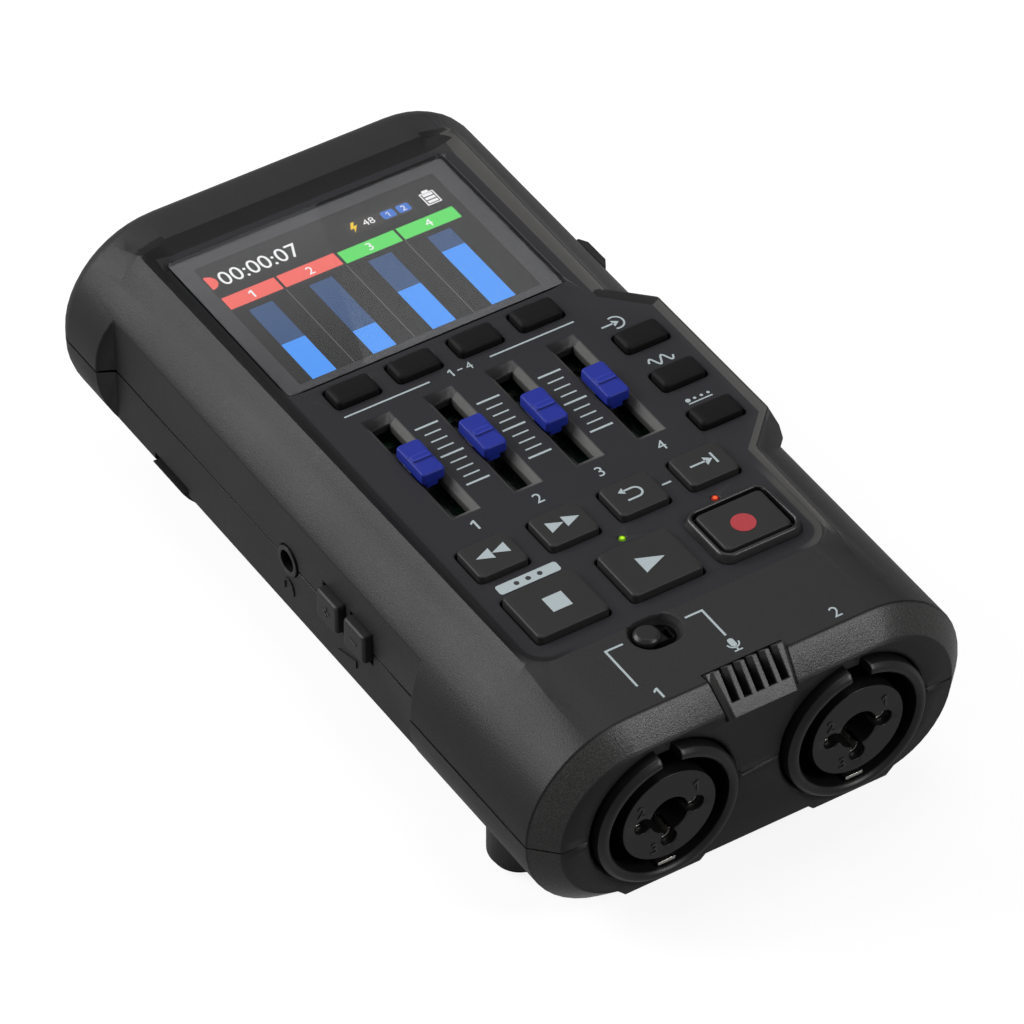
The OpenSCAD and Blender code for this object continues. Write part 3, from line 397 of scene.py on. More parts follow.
def banded_sleeve(tree, place, colour):
    """Printed sleeve of a cell: a wide coloured band, a dark band and bright metal at both ends."""
    across = node(tree, "ShaderNodeSeparateXYZ", {}, {"Vector": place}, output="X")
    dark_band = ramp(abs(across), 11.4 * MM, 11.6 * MM)
    metal_end = ramp(abs(across), 23.9 * MM, 24.1 * MM)
    colour = blend(tree, dark_band, colour, rgb(0.012, 0.012, 0.014))
    return blend(tree, metal_end, colour, rgb(0.6, 0.6, 0.58))


def board_traces(tree, place, colour):
    """Copper runs under the solder mask, and pads."""
    cells = node(tree, "ShaderNodeTexVoronoi", {"distance": "CHEBYCHEV"}, {"Vector": place, "Scale": 420.0})
    runs = ramp(abs(cells - 0.42), 0.09, 0.05)
    pads = ramp(cells, 0.16, 0.12)
    colour = blend(tree, runs * 0.6, colour, rgb(0.008, 0.045, 0.024))
    return blend(tree, pads, colour, rgb(0.06, 0.058, 0.045))


def speckle(tree, place, colour):
    """Fine pale specks as on a worn brushed part."""
    specks = ramp(noise(tree, place, 3100.0, 1.0), 0.66, 0.78)
    return blend(tree, specks * 0.35, colour, rgb(0.4, 0.4, 0.42))


METAL = {"Metallic": 1.0}
# Row of the two small lights
LIGHT_Y = 36.1


def sheen(level):
    return {"Specular IOR Level": level}


# Dark and light colour, roughness, scale and depth of the grain, and what else a finish has
FINISHES = {
    # the shell's tint paints light, shade and highlights round the panel
    "shell_plastic": ((0.01, 0.01, 0.0106), (0.0175, 0.0175, 0.0184), 0.46, 3600.0, 0.042,
                      {"spread": 0.14, "tint": panel_tint, "fixed": sheen(0.24)}),
    "bezel_gloss": ((0.005, 0.005, 0.006), (0.008, 0.008, 0.009), 0.37, 1500.0, 0.004, {"spread": 0.08}),
    "display_lit": ((0.02, 0.03, 0.05), (0.04, 0.06, 0.1), 0.4, 900.0, 0.004, {}),
    "board_green": ((0.0014, 0.006, 0.0034), (0.0024, 0.01, 0.0056), 0.42, 700.0, 0.01,
                    {"stain": board_traces}),
    "screw_steel": ((0.16, 0.16, 0.165), (0.3, 0.3, 0.31), 0.34, 1800.0, 0.008,
                    {"stain": speckle, "fixed": METAL}),
    "switch_metal": ((0.36, 0.37, 0.38), (0.52, 0.53, 0.55), 0.36, 900.0, 0.006,
                     {"stretch": (1.0, 0.05, 1.0), "fixed": METAL}),
    "socket_black": ((0.0055, 0.0055, 0.0058), (0.009, 0.009, 0.0093), 0.37, 1900.0, 0.012,
                     {"spread": 0.12, "fixed": sheen(0.36)}),
    "contact_metal": ((0.5, 0.49, 0.46), (0.68, 0.67, 0.63), 0.28, 1100.0, 0.006,
                      {"stretch": (1.0, 0.08, 1.0), "fixed": METAL}),
    "cell_sleeve": ((0.42, 0.25, 0.03), (0.6, 0.39, 0.06), 0.3, 300.0, 0.004,
                    {"stain": banded_sleeve, "fixed": {"Metallic": 0.6}}),
    "insert_brass": ((0.4, 0.26, 0.07), (0.58, 0.4, 0.13), 0.3, 1500.0, 0.008, {"fixed": METAL}),
    "rubber_black": ((0.0042, 0.0042, 0.0045), (0.0072, 0.0072, 0.0075), 0.6, 1700.0, 0.02,
                     {"spread": 0.1, "fixed": sheen(0.13)}),
    "key_plastic": ((0.0195, 0.0188, 0.0186), (0.0265, 0.0257, 0.0253), 0.46, 2600.0, 0.012,
                    {"spread": 0.1, "fixed": sheen(0.25)}),
    "cap_blue": ((0.0105, 0.02, 0.23), (0.018, 0.034, 0.32), 0.44, 2400.0, 0.012,
                 {"spread": 0.1, "tint": cap_tint, "fixed": sheen(0.25)}),
    "print_grey": ((0.38, 0.44, 0.462), (0.44, 0.505, 0.528), 0.5, 2400.0, 0.006, {}),
    "print_dark": ((0.02, 0.02, 0.022), (0.03, 0.03, 0.032), 0.5, 2400.0, 0.006, {}),
    "print_red": ((0.36, 0.03, 0.04), (0.46, 0.044, 0.056), 0.46, 2400.0, 0.006, {}),
    "grille_grey": ((0.024, 0.024, 0.0235), (0.056, 0.056, 0.055), 0.29, 4300.0, 0.03,
                    {"spread": 0.1, "fixed": sheen(0.24)}),
    # near-black sheet that paints shade into the selector's dish
    "dish_shade_black": ((0.0008, 0.0008, 0.0008), (0.0014, 0.0014, 0.0014), 0.8, 1700.0, 0.004,
                   {"fixed": sheen(0.03)}),
    "nub_black": ((0.014, 0.014, 0.0145), (0.02, 0.02, 0.0205), 0.36, 2100.0, 0.012,
                  {"spread": 0.1, "tint": nub_tint, "fixed": sheen(0.3)}),
    # figures beside the sockets, painted lighter than their black moulding as a painted highlight
    "socket_figure_highlight": ((0.018, 0.018, 0.018), (0.027, 0.027, 0.027), 0.45, 1900.0, 0.006, {}),
    "mask_black": ((0.017, 0.017, 0.021), (0.022, 0.022, 0.027), 0.5, 1200.0, 0.002, {}),
}
# Colour and strength of what the display shows
SCREEN = {
    "screen_grey": ((0.014, 0.014, 0.014), 1.0),
    "screen_badge": ((0.04, 0.036, 0.033), 1.0),
    "screen_red": ((1.0, 0.155, 0.125), 1.0),
    "screen_green": ((0.125, 0.8, 0.145), 1.0),
    "screen_blue": ((0.075, 0.34, 1.0), 1.05),
    "screen_dim": ((0.04, 0.093, 0.22), 1.0),
    "screen_white": ((0.95, 0.95, 0.95), 1.05),
    "screen_line": ((0.16, 0.16, 0.16), 1.0),
    "screen_yellow": ((1.0, 0.68, 0.02), 1.0),
    "screen_tag": ((0.055, 0.2, 0.68), 1.0),
}
MATERIALS = {name: grained(name, rgb(*dark), rgb(*light), rough, grain, depth, **more)
             for name, (dark, light, rough, grain, depth, more) in FINISHES.items()}
MATERIALS.update({name: lit(name, rgb(*colour), strength) for name, (colour, strength) in SCREEN.items()})
MATERIALS["light_green"] = glowing("light_green", rgb(0.5, 0.95, 0.02), rgb(0.07, 0.17, 0.0), -0.35, LIGHT_Y)
MATERIALS["light_red"] = glowing("light_red", rgb(1.0, 0.14, 0.03), rgb(0.22, 0.006, 0.002), 16.0, LIGHT_Y)
MATERIALS["lens_clear"] = lens_glass()


# Pieces: making, placing and finishing them


def placed(name, data):
    """A new object in the scene."""
    made = bpy.data.objects.new(name, data)
    bpy.context.scene.collection.objects.link(made)
    return made


def piece(name, mesh, material, body):
    """An object at the origin that rides on one body."""
    mesh.name = name
    mesh.materials.clear()
    mesh.materials.append(MATERIALS[material])
    made = placed(name, mesh)
    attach(made, body)
    return made


def evaluated_mesh(holder):
    """Plain mesh of an object with its modifiers, after which the object goes."""
    bpy.context.view_layer.update()
    depsgraph = bpy.context.evaluated_depsgraph_get()
    mesh = bpy.data.meshes.new_from_object(holder.evaluated_get(depsgraph), depsgraph=depsgraph)
    bpy.data.objects.remove(holder)
    return mesh


def shaded(name, shape):
    """Mesh of a bmesh with smooth faces, sharp edges kept and normals weighted to the large faces."""
    mesh = bpy.data.meshes.new(name)
    shape.to_mesh(mesh)
    shape.free()
    mesh.polygons.foreach_set("use_smooth", [True] * len(mesh.polygons))
    mesh.set_sharp_from_angle(angle=math.radians(SHARP_ANGLE))
    holder = placed(name + "_holder", mesh)
    weighted = holder.modifiers.new("weighted", "WEIGHTED_NORMAL")
    weighted.keep_sharp = True
    return evaluated_mesh(holder)


def rounded_edges(shape, width, angle, segments, sharp=()):
    """Rounds the outward edges that have room for it on both sides, apart from those of the sharp faces."""
    limit = math.radians(angle)
    chosen = {e for e in shape.edges
              if len(e.link_faces) == 2 and e.is_convex and e.calc_face_angle(0.0) > limit
              and not any(f in sharp for f in e.link_faces)}
    room = EDGE_ROOM * width * MM
    roomy = [e for e in shape.edges if e in chosen
             and all(o in chosen or o.calc_length() > room for v in e.verts for o in v.link_edges)]
    bmesh.ops.bevel(shape, geom=roomy, offset=width * MM, offset_type="OFFSET", segments=segments,
                    profile=0.5, affect="EDGES", clamp_overlap=False)


def rounded_copy(cad_node, width, segments, sharp):
    """Copy of a CAD node with rounded edges, and the faces that fold over themselves because of it."""
    shape = bmesh.new()
    shape.from_mesh(frame["nodes"][cad_node].data)
    bmesh.ops.remove_doubles(shape, verts=shape.verts, dist=0.002 * MM)
    bmesh.ops.dissolve_limit(shape, angle_limit=math.radians(1.0), verts=shape.verts, edges=shape.edges)
    bmesh.ops.recalc_face_normals(shape, faces=shape.faces)
    shape.normal_update()
    home = shape.faces.layers.int.new("home")
    normals = []
    for index, face in enumerate(shape.faces):
        face[home] = index
        normals.append(face.normal.copy())
    if width:
        rounded_edges(shape, width, ROUND_ANGLE, segments, {f for f in shape.faces if f[home] in sharp})
    home = shape.faces.layers.int["home"]
    wide = [f for f in shape.faces if len(f.verts) > 4]
    cut = bmesh.ops.triangulate(shape, faces=wide)["faces"]
    folded = {f[home] for f in cut if f.calc_area() > 1e-9 and f.normal.dot(normals[f[home]]) < -0.2}
    return shape, folded


def without(shape, outline, low, high, place):
    """A bmesh with a prism cut out of it."""
    cutter = bmesh.new()
    add_prism(cutter, outline, low, high, place)
    objects = []
    for name, source in (("whole", shape), ("cutter", cutter)):
        mesh = bpy.data.meshes.new(name)
        source.to_mesh(mesh)
        source.free()
        objects.append(placed(name, mesh))
    cut = objects[0].modifiers.new("cut", "BOOLEAN")
    cut.operation = "DIFFERENCE"
    cut.object = objects[1]
    mesh = evaluated_mesh(objects[0])
    bpy.data.objects.remove(objects[1])
    made = bmesh.new()
    made.from_mesh(mesh)
    return made


def refined(cad_node, width, material=None, segments=2, cut=None, drop=0.0):
    """Rounded, smoothly shaded copy of a CAD node that stands for it."""
    sharp = set()
    shape, folded = rounded_copy(cad_node, width, segments, sharp)
    while folded - sharp:
        sharp |= folded
        shape.free()
        shape, folded = rounded_copy(cad_node, width, segments, sharp)
    bmesh.ops.dissolve_degenerate(shape, dist=0.0005 * MM, edges=shape.edges)
    if cut:
        shape = without(shape, *cut)
    if drop:
        top = max(v.co.z for v in shape.verts)
        for vertex in shape.verts:
            if vertex.co.z > top - KEY_CROWN * MM:
                vertex.co.z -= drop * MM
    slot = SLOT_OF[cad_node]
    made = piece(cad_node + "_look", shaded(cad_node, shape), material or slot, BODY_OF[cad_node])
    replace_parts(made, cad_node)
    return made


def on_panel(x=0.0, y=0.0, z=0.0):
    """From millimetres on the panel to the model's frame."""
    return Matrix.Scale(MM, 4) @ Matrix.Translation((x, y + FRONT_Y, z + PANEL_Z))


def turn_to(right, up, out):
    """Turn that takes the local axes to three directions."""
    return Matrix((right, up, out)).transposed().to_4x4()


def facing(normal, x, y, z):
    """From millimetres on a wall to the model's frame: x to the right and y up as it is looked at."""
    out = Vector(normal)
    up = Vector((0.0, 0.0, 1.0))
    return on_panel(x, y, z) @ turn_to(up.cross(out), up, out)


def add_prism(shape, outline, low, high, place):
    area = sum(a[0] * b[1] - b[0] * a[1] for a, b in zip(outline, outline[1:] + outline[:1]))
    points = outline if area > 0 else outline[::-1]
    base = [shape.verts.new(place @ Vector((x, y, low))) for x, y in points]
    top = [shape.verts.new(place @ Vector((x, y, high))) for x, y in points]
    shape.faces.new(top)
    shape.faces.new(base[::-1])
    for i in range(len(points)):
        j = (i + 1) % len(points)
        shape.faces.new((base[i], base[j], top[j], top[i]))


def prisms(name, outlines, place, body, material, low=0.0, high=INK):
    """One piece made of flat outlines with a thickness."""
    shape = bmesh.new()
    for outline in outlines:
        add_prism(shape, [tuple(p) for p in outline], low, high, place)
    mesh = bpy.data.meshes.new(name)
    shape.to_mesh(mesh)
    shape.free()
    return piece(name, mesh, material, body)


def lathe(name, profile, place, body, material, steps=48):
    """Piece turned about its own z axis from (radius, height) pairs, closed at both ends."""
    shape = bmesh.new()
    rings = []
    for radius, height in profile:
        circle = disc(0.0, 0.0, radius, steps)
        rings.append([shape.verts.new(place @ Vector((x, y, height))) for x, y in circle])
    for low, high in zip(rings, rings[1:]):
        for i in range(steps):
            j = (i + 1) % steps
            shape.faces.new((low[i], low[j], high[j], high[i]))
    shape.faces.new(rings[0][::-1])
    shape.faces.new(rings[-1])
    return piece(name, shaded(name, shape), material, body)


def figure_one(height):
    """The figure 1 with its flag."""
    spots = [(0.14, -0.5), (0.14, 0.5), (0.0, 0.5), (-0.27, 0.31), (-0.27, 0.13), (-0.03, 0.28),
             (-0.03, -0.5)]
    return [(x * height, y * height) for x, y in spots]


def lettering(name, text, height, place, body, material, thick=INK, wide=1.0):
    """Plain figures as a mesh, centred on their place."""
    if text == "1":
        return prisms(name, [figure_one(height)], place, body, material, high=thick)
    curve = bpy.data.curves.new(name, "FONT")
    curve.body = text
    curve.size = height / FIGURE_SHARE
    curve.extrude = thick / 2
    curve.resolution_u = 4
    holder = placed(name + "_holder", curve)
    mesh = evaluated_mesh(holder)
    spots = [v.co.copy() for v in mesh.vertices]
    middle = [(min(s[i] for s in spots) + max(s[i] for s in spots)) / 2 for i in range(2)]
    narrow = Matrix.Diagonal((wide, 1.0, 1.0, 1.0))
    mesh.transform(place @ narrow @ Matrix.Translation((-middle[0], -middle[1], thick / 2)))
    return piece(name, mesh, material, body)


# Flat outlines in millimetres


def rect(x0, y0, x1, y1):
    return [(x0, y0), (x1, y0), (x1, y1), (x0, y1)]


def arc(x, y, radius, start, end, steps=20):
    turns = [math.radians(start + (end - start) * i / steps) for i in range(steps + 1)]
    return [(x + radius * math.cos(t), y + radius * math.sin(t)) for t in turns]


def disc(x, y, radius, steps=36):
    return arc(x, y, radius, 0.0, 360.0, steps)[:-1]


def round_rect(x0, y0, x1, y1, radius):
    corners = [(x1 - radius, y1 - radius, 0), (x0 + radius, y1 - radius, 90), (x0 + radius, y0 + radius, 180),
               (x1 - radius, y0 + radius, 270)]
    return [p for x, y, turn in corners for p in arc(x, y, radius, turn, turn + 90, 6)]


def stroke(points, width):
    """Outline of a line of some width with mitred corners."""
    spots = [Vector(p) for p in points]
    left = []
    right = []
    for i, spot in enumerate(spots):
        before = (spot - spots[i - 1]).normalized() if i else (spots[1] - spots[0]).normalized()
        after = (spots[i + 1] - spot).normalized() if i + 1 < len(spots) else before
        along = (before + after).normalized()
        side = Vector((-along.y, along.x)) * (width / 2 / max(along.dot(before), 0.4))
        left.append(tuple(spot + side))
        right.append(tuple(spot - side))
    return left + right[::-1]


def moved(outlines, x, y):
    return [[(px + x, py + y) for px, py in outline] for outline in outlines]


# Geometry Nodes pieces


def grown(name, build, values, material, body, points=()):
    """A piece that a geometry tree makes from named inputs and, where given, from points."""
    tree = bpy.data.node_groups.new(name, "GeometryNodeTree")
    tree.interface.new_socket("Geometry", in_out="INPUT", socket_type="NodeSocketGeometry")
    tree.interface.new_socket("Geometry", in_out="OUTPUT", socket_type="NodeSocketGeometry")
    sockets = {}
    for key, value in values.items():
        kind = "NodeSocketInt" if isinstance(value, int) else "NodeSocketFloat"
        sockets[key] = tree.interface.new_socket(key, in_out="INPUT", socket_type=kind).identifier
    source = node(tree, "NodeGroupInput")
    made = build(tree, source, {key: source.out(key) for key in values})
    made = node(tree, "GeometryNodeRealizeInstances", {}, {"Geometry": made})
    made = node(tree, "GeometryNodeSetMaterial", {}, {"Geometry": made, "Material": MATERIALS[material]})
    node(tree, "NodeGroupOutput", {}, {"Geometry": made})
    mesh = bpy.data.meshes.new(name)
    mesh.from_pydata([tuple(p) for p in points], [], [])
    holder = placed(name + "_holder", mesh)
    modifier = holder.modifiers.new(name, "NODES")
    modifier.node_group = tree
    for key, value in values.items():
        modifier[sockets[key]] = value
    return piece(name, evaluated_mesh(holder), material, body)


def vector(tree, x=0.0, y=0.0, z=0.0):
    return node(tree, "ShaderNodeCombineXYZ", {}, {"X": x, "Y": y, "Z": z})


def line_of_points(tree, count, offset):
    return node(tree, "GeometryNodeMeshLine", {"mode": "OFFSET"}, {"Count": count, "Offset": offset})


def block(tree, size):
    return node(tree, "GeometryNodeMeshCube", {}, {"Size": size})


def copies(tree, points, shape, scale=None):
    inputs = {"Points": points, "Instance": shape}
    if scale:
        inputs["Scale"] = scale
    return node(tree, "GeometryNodeInstanceOnPoints", {}, inputs)


def put(tree, shape, offset, turn=(0.0, 0.0, 0.0)):
    return node(tree, "GeometryNodeTransform", {},
                {"Geometry": shape, "Translation": offset, "Rotation": turn})


def joined(tree, *shapes):
    made = tree.nodes.new("GeometryNodeJoinGeometry")
    for shape in reversed(shapes):
        tree.links.new(shape.socket, made.inputs[0])
    return Wire(tree, made.outputs[0])


def tick_columns(tree, source, value):
    """Columns of scale marks, every fourth one long."""
    index = node(tree, "GeometryNodeInputIndex")
    long_one = (index % 4.0) < 0.5
    length = value["Short"] + (value["Long"] - value["Short"]) * long_one
    width = value["Width"] * (1.0 + long_one * 0.35)
    marks = copies(tree, line_of_points(tree, value["Marks"], vector(tree, y=value["Pitch"] * -1.0)),
                   block(tree, (1.0, 1.0, 1.0)), vector(tree, length, width, value["Height"]))
    columns = copies(tree, line_of_points(tree, value["Columns"], vector(tree, value["Step"])), marks)
    return put(tree, columns, vector(tree, value["Left"], value["Rear"], value["Top"]))


def cross_screws(tree, source, value):
    """Screws with a cross recess, one at each point, heads down."""
    head = node(tree, "GeometryNodeMeshCylinder", {},
                {"Vertices": 48, "Radius": value["Head radius"], "Depth": value["Head height"]})
    arms = [block(tree, vector(tree, *[value[k] for k in keys]))
            for keys in (("Arm length", "Arm width", "Recess"), ("Arm width", "Arm length", "Recess"))]
    sunk = put(tree, joined(tree, *arms), vector(tree, z=value["Head height"] * -0.5))
    cut = node(tree, "GeometryNodeMeshBoolean", {"operation": "DIFFERENCE"}, {"Mesh 1": head, "Mesh 2": sunk})
    shank = node(tree, "GeometryNodeMeshCylinder", {},
                 {"Vertices": 24, "Radius": value["Shank radius"], "Depth": value["Shank length"]})
    up = (value["Head height"] + value["Shank length"]) * 0.5
    whole = joined(tree, cut, put(tree, shank, vector(tree, z=up)))
    return copies(tree, source.out("Geometry"), whole)


def coil(tree, value):
    path = node(tree, "GeometryNodeCurveSpiral", {},
                {"Resolution": 36, "Rotations": value["Turns"], "Start Radius": value["Start radius"],
                 "End Radius": value["End radius"], "Height": value["Rise"]})
    wire = node(tree, "GeometryNodeCurvePrimitiveCircle", {},
                {"Resolution": 10, "Radius": value["Wire radius"]})
    shape = node(tree, "GeometryNodeCurveToMesh", {},
                 {"Curve": path, "Profile Curve": wire, "Fill Caps": True})
    return node(tree, "GeometryNodeSetShadeSmooth", {}, {"Geometry": shape})


def coil_at_points(tree, source, value):
    """Coils at points, turned about the y axis."""
    turned = put(tree, coil(tree, value), (0.0, 0.0, 0.0), vector(tree, y=value["Turn"]))
    return copies(tree, source.out("Geometry"), turned)


def rib_row(tree, source, value):
    """Low ribs side by side at each point."""
    row = copies(tree, line_of_points(tree, value["Ribs"], vector(tree, y=value["Pitch"])),
                 node(tree, "GeometryNodeMeshCylinder", {}, {"Vertices": 16, "Radius": value["Radius"],
                                                             "Depth": value["Length"]}))
    shift = (value["Pitch"] * (value["Ribs"] - 1.0)) * -0.5
    return copies(tree, source.out("Geometry"), put(tree, row, vector(tree, y=shift)))


# Case, keys and inner parts as refined copies of the CAD nodes

ROUNDING = {
    "bottom_shell": 0.2, "battery_cover": 0.15, "record_bezel": 0.28,
    "jack_housing_a": 0.16, "jack_housing_b": 0.16,
    "headphone_socket": 0.1, "tripod_insert": 0.15, "foot_pads": 0.3,
    "volume_up_key": 0.16, "volume_down_key": 0.16, "power_slider": 0.2,
    "usb_socket": 0.08, "card_socket": 0.08, "battery_cells": 0.35, "jack_contacts": 0.05,
    "play_light": 0.12, "record_light": 0.12,
    "stop_key": 0.1, "play_key": 0.1, "rewind_key": 0.1, "forward_key": 0.1, "undo_key": 0.1,
    "bounce_key": 0.1,
}
SMOOTH_KEYS = [f"track_key_{i}" for i in range(1, 5)] + ["rhythm_key", "effect_key", "input_key"]
for cad_node, width in ROUNDING.items():
    refined(cad_node, width)
lens_low, lens_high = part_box("display_lens")
LENS_CORNER = 0.9


def lens_outline(margin):
    """Outline of the lens, drawn in by a margin."""
    return round_rect(lens_low.x / MM + margin, lens_low.y / MM - FRONT_Y + margin, lens_high.x / MM - margin,
                      lens_high.y / MM - FRONT_Y - margin, LENS_CORNER - margin)


refined("top_shell", 0.22, cut=(lens_outline(-0.03), -0.96, 0.5, on_panel()))
refined("mic_grille", 0.14, "grille_grey")
refined("input_selector", 0.12, "nub_black")
refined("record_key", 0.1, drop=RECORD_DROP)
for cad_node in SMOOTH_KEYS:
    refined(cad_node, 0.0)
for number in range(1, 5):
    refined(f"fader_cap_{number}", 0.12, segments=3)
    refined(f"fader_lever_{number}", 0.1)
    x = FADER_X[number - 1]
    neck = round_rect(x - 1.1, FADER_Y - 3.4, x + 1.1, FADER_Y + 3.4, 0.4)
    prisms(f"fader_neck_{number}", [neck], on_panel(), f"fader_{number}", "cap_blue", low=-1.5,
           high=-0.2)

for name in ["mic_capsule", "display_module", "control_board", "main_board", "board_screws", "key_switches",
             "selector_switch", "power_switch"] + [f"fader_body_{i}" for i in range(1, 5)]:
    inner = frame["nodes"][name]
    inner.data.materials.clear()
    inner.data.materials.append(MATERIALS[SLOT_OF[name]])

# Black sheet over the floor of the selector's dish as painted shade, and the top of its nub
NUB_PROFILE = [(1.62, -0.4), (1.98, -0.28), (2.06, -0.18), (2.06, 0.34), (2.0, 0.44), (1.56, 0.8),
               (1.44, 0.86)]
DISH_FLOOR = arc(DISH_HALF, 0.0, 2.38, 0, 90, 8) + arc(-DISH_HALF, 0.0, 2.38, 90, 180, 8)
DISH_FLOOR += [(-2.65, 0.0), (-2.65, 1.15), (2.65, 1.15), (2.65, 0.0)]
dish_halves = [DISH_FLOOR, [(x, -y) for x, y in DISH_FLOOR]]
prisms("selector_dish_shade_floor", dish_halves, on_panel(DISH_X, DISH_Y), "case", "dish_shade_black",
       low=-1.14, high=-1.06)
lathe("selector_cap", NUB_PROFILE, on_panel(NUB_X, DISH_Y), "input_selector", "nub_black")


# Case screws, battery springs, threads and ribs

SCREW_X = 29.0
SCREW_ROWS = [36.0, 84.0, 130.0]
HEAD_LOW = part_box("case_screws")[0].z
screw_spots = [(side * SCREW_X * MM, (y + FRONT_Y) * MM, HEAD_LOW + 1.0 * MM)
               for side in (-1, 1) for y in SCREW_ROWS]
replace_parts(grown("case_screw_set", cross_screws, {
    "Head radius": 2.6 * MM, "Head height": 2.0 * MM, "Arm length": 3.2 * MM, "Arm width": 0.75 * MM,
    "Recess": 2.2 * MM, "Shank radius": 1.25 * MM, "Shank length": 16.5 * MM,
}, "screw_steel", "case", screw_spots), "case_screws")

contact_low, contact_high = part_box("battery_contacts")
CELL_Y = 106.2
CELL_STEP = 14.7
cell_z = (contact_low.z + contact_high.z) / 2
half_z = (contact_high.z - contact_low.z) / 2 / MM
BAY_X = contact_high.x / MM
plates = []
for side, near in ((-1, -1), (-1, 1), (1, -1), (1, 1)):
    y = CELL_Y + near * CELL_STEP / 2
    wall = facing((-side, 0.0, 0.0), side * BAY_X, y, cell_z / MM - PANEL_Z)
    plates.append((round_rect(-5.0, -half_z, 5.0, half_z, 1.0), 0.0, 0.4, wall))
    plates.append((stroke(arc(0.0, 0.0, 4.1, 0.0, 180.0, 24), 0.5), 0.4, 0.55, wall))
    if side * near > 0:
        plates.append((disc(0.0, 0.0, 2.2), 0.4, 2.65, wall))
plate_shape = bmesh.new()
for outline, low, high, wall in plates:
    add_prism(plate_shape, outline, low, high, wall)
rounded_edges(plate_shape, 0.12, 40.0, 2)
plate_piece = piece("battery_contact_plates", shaded("battery_contact_plates", plate_shape),
                    "contact_metal", "case")
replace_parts(plate_piece, "battery_contacts")
for label, side in (("left", -1), ("right", 1)):
    spot = (side * (BAY_X - 0.5) * MM, (CELL_Y - side * CELL_STEP / 2 + FRONT_Y) * MM, cell_z)
    grown(f"battery_spring_{label}", coil_at_points, {
        "Turns": 4.0, "Start radius": 4.0 * MM, "End radius": 1.9 * MM, "Rise": 2.9 * MM,
        "Wire radius": 0.28 * MM, "Turn": -side * math.pi / 2,
    }, "contact_metal", "case", [spot])

tripod_low, tripod_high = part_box("tripod_insert")
tripod_x = (tripod_low.x + tripod_high.x) / 2
tripod_y = (tripod_low.y + tripod_high.y) / 2
grown("tripod_thread", coil_at_points, {
    "Turns": 5.0, "Start radius": 3.0 * MM, "End radius": 3.0 * MM, "Rise": 6.2 * MM,
    "Wire radius": 0.24 * MM, "Turn": 0.0,
}, "insert_brass", "case", [(tripod_x, tripod_y, tripod_low.z + 0.3 * MM)])

slider_low, slider_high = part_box("power_slider")
grown("power_slider_ribs", rib_row, {
    "Ribs": 5, "Pitch": 1.1 * MM, "Radius": 0.24 * MM, "Length": (slider_high.z - slider_low.z) - 2.2 * MM,
}, "key_plastic", "power_slider",
    [(slider_high.x - 0.12 * MM, (slider_low.y + slider_high.y) / 2, (slider_low.z + slider_high.z) / 2)])


# Print on the panel and on the keys

grown("fader_scale_marks", tick_columns, {
    "Marks": 9, "Columns": 3, "Step": FADER_STEP * MM, "Pitch": 1.79 * MM,
    "Long": 4.0 * MM, "Short": 2.8 * MM, "Width": 0.28 * MM, "Height": 2 * INK * MM,
    "Left": -11.42 * MM, "Rear": (72.32 + FRONT_Y) * MM, "Top": PANEL_Z * MM,
}, "print_grey", "case")

for number in range(1, 5):
    lettering(f"fader_number_{number}", str(number), 2.1, on_panel(FADER_X[number - 1] - 0.15, 49.95), "case",
              "print_grey")

panel_lines = [
    rect(-20.8, 80.2, -5.8, 80.5), rect(4.9, 80.2, 19.9, 80.5),
    rect(10.89, 42.36, 12.49, 42.7),
]
panel_lines += moved([figure_one(1.6), rect(1.1, -0.12, 2.0, 0.12)], -2.0, 80.35)
lettering("track_range_end", "4", 1.6, on_panel(1.15, 80.35), "case", "print_grey")
arrow_in = [stroke([(-1.9, 0.0), (0.3, 0.0)], 0.32), [(0.1, -0.75), (1.2, 0.0), (0.1, 0.75)]]
arrow_in += [stroke(arc(0.6, 0.0, 1.35, -115, 115), 0.3)]
wave = [stroke([(-2.1 + 0.15 * i, 0.85 * math.sin(i * math.pi / 7)) for i in range(29)], 0.32)]
beat = [disc(-1.8 + 1.2 * i, 0.0, 0.42 if i % 4 == 0 else 0.26, 20) for i in range(4)]
beat += [rect(-2.1, -0.9, 2.1, -0.66)]
microphone = [round_rect(-0.5, -0.2, 0.5, 1.6, 0.49), stroke(arc(0.0, 0.55, 0.95, 180, 360), 0.26),
              rect(-0.13, -1.0, 0.13, -0.4), rect(-0.7, -1.2, 0.7, -0.95)]
panel_lines += moved(arrow_in, 24.5, 76.8) + moved(wave, 26.3, 66.1) + moved(beat, 26.3, 56.1)
prisms("panel_print", panel_lines, on_panel(), "case", "print_grey")


def on_shelf(x=0.0, y=0.0):
    """From millimetres on the top of the case in front of the panel to the model's frame."""
    slope = SHELF_RISE / SHELF_RUN
    return on_panel(x, y, SHELF_Z + slope * (y - SHELF_Y)) @ Matrix.Rotation(math.atan(slope), 4, "X")


shelf_lines = [stroke([(-12.9, 16.8), (-15.9, 16.8), (-15.9, 8.4)], 0.36),
               stroke([(-2.3, 16.6), (0.65, 16.6), (0.65, 10.4)], 0.36)] + moved(microphone, 0.6, 8.0)
prisms("shelf_print", moved(shelf_lines, 0.0, -10.0), on_shelf(0.0, 10.0), "case", "print_grey")
lettering("input_number_1", "1", 2.2, on_shelf(-14.0, 5.6), "case", "print_grey")
lettering("input_number_2", "2", 2.2, on_shelf(16.8, 6.1), "case", "print_grey")
badge_dots = [disc(-16.65 + 2.0 * i, 36.18, 0.42, 24) for i in (-1, 0, 1)]
prisms("option_badge", [round_rect(-21.9, 35.15, -11.4, 37.2, 0.5)], on_panel(), "case", "print_grey")
prisms("option_dots", badge_dots, on_panel(), "case", "print_dark", low=INK, high=2 * INK)


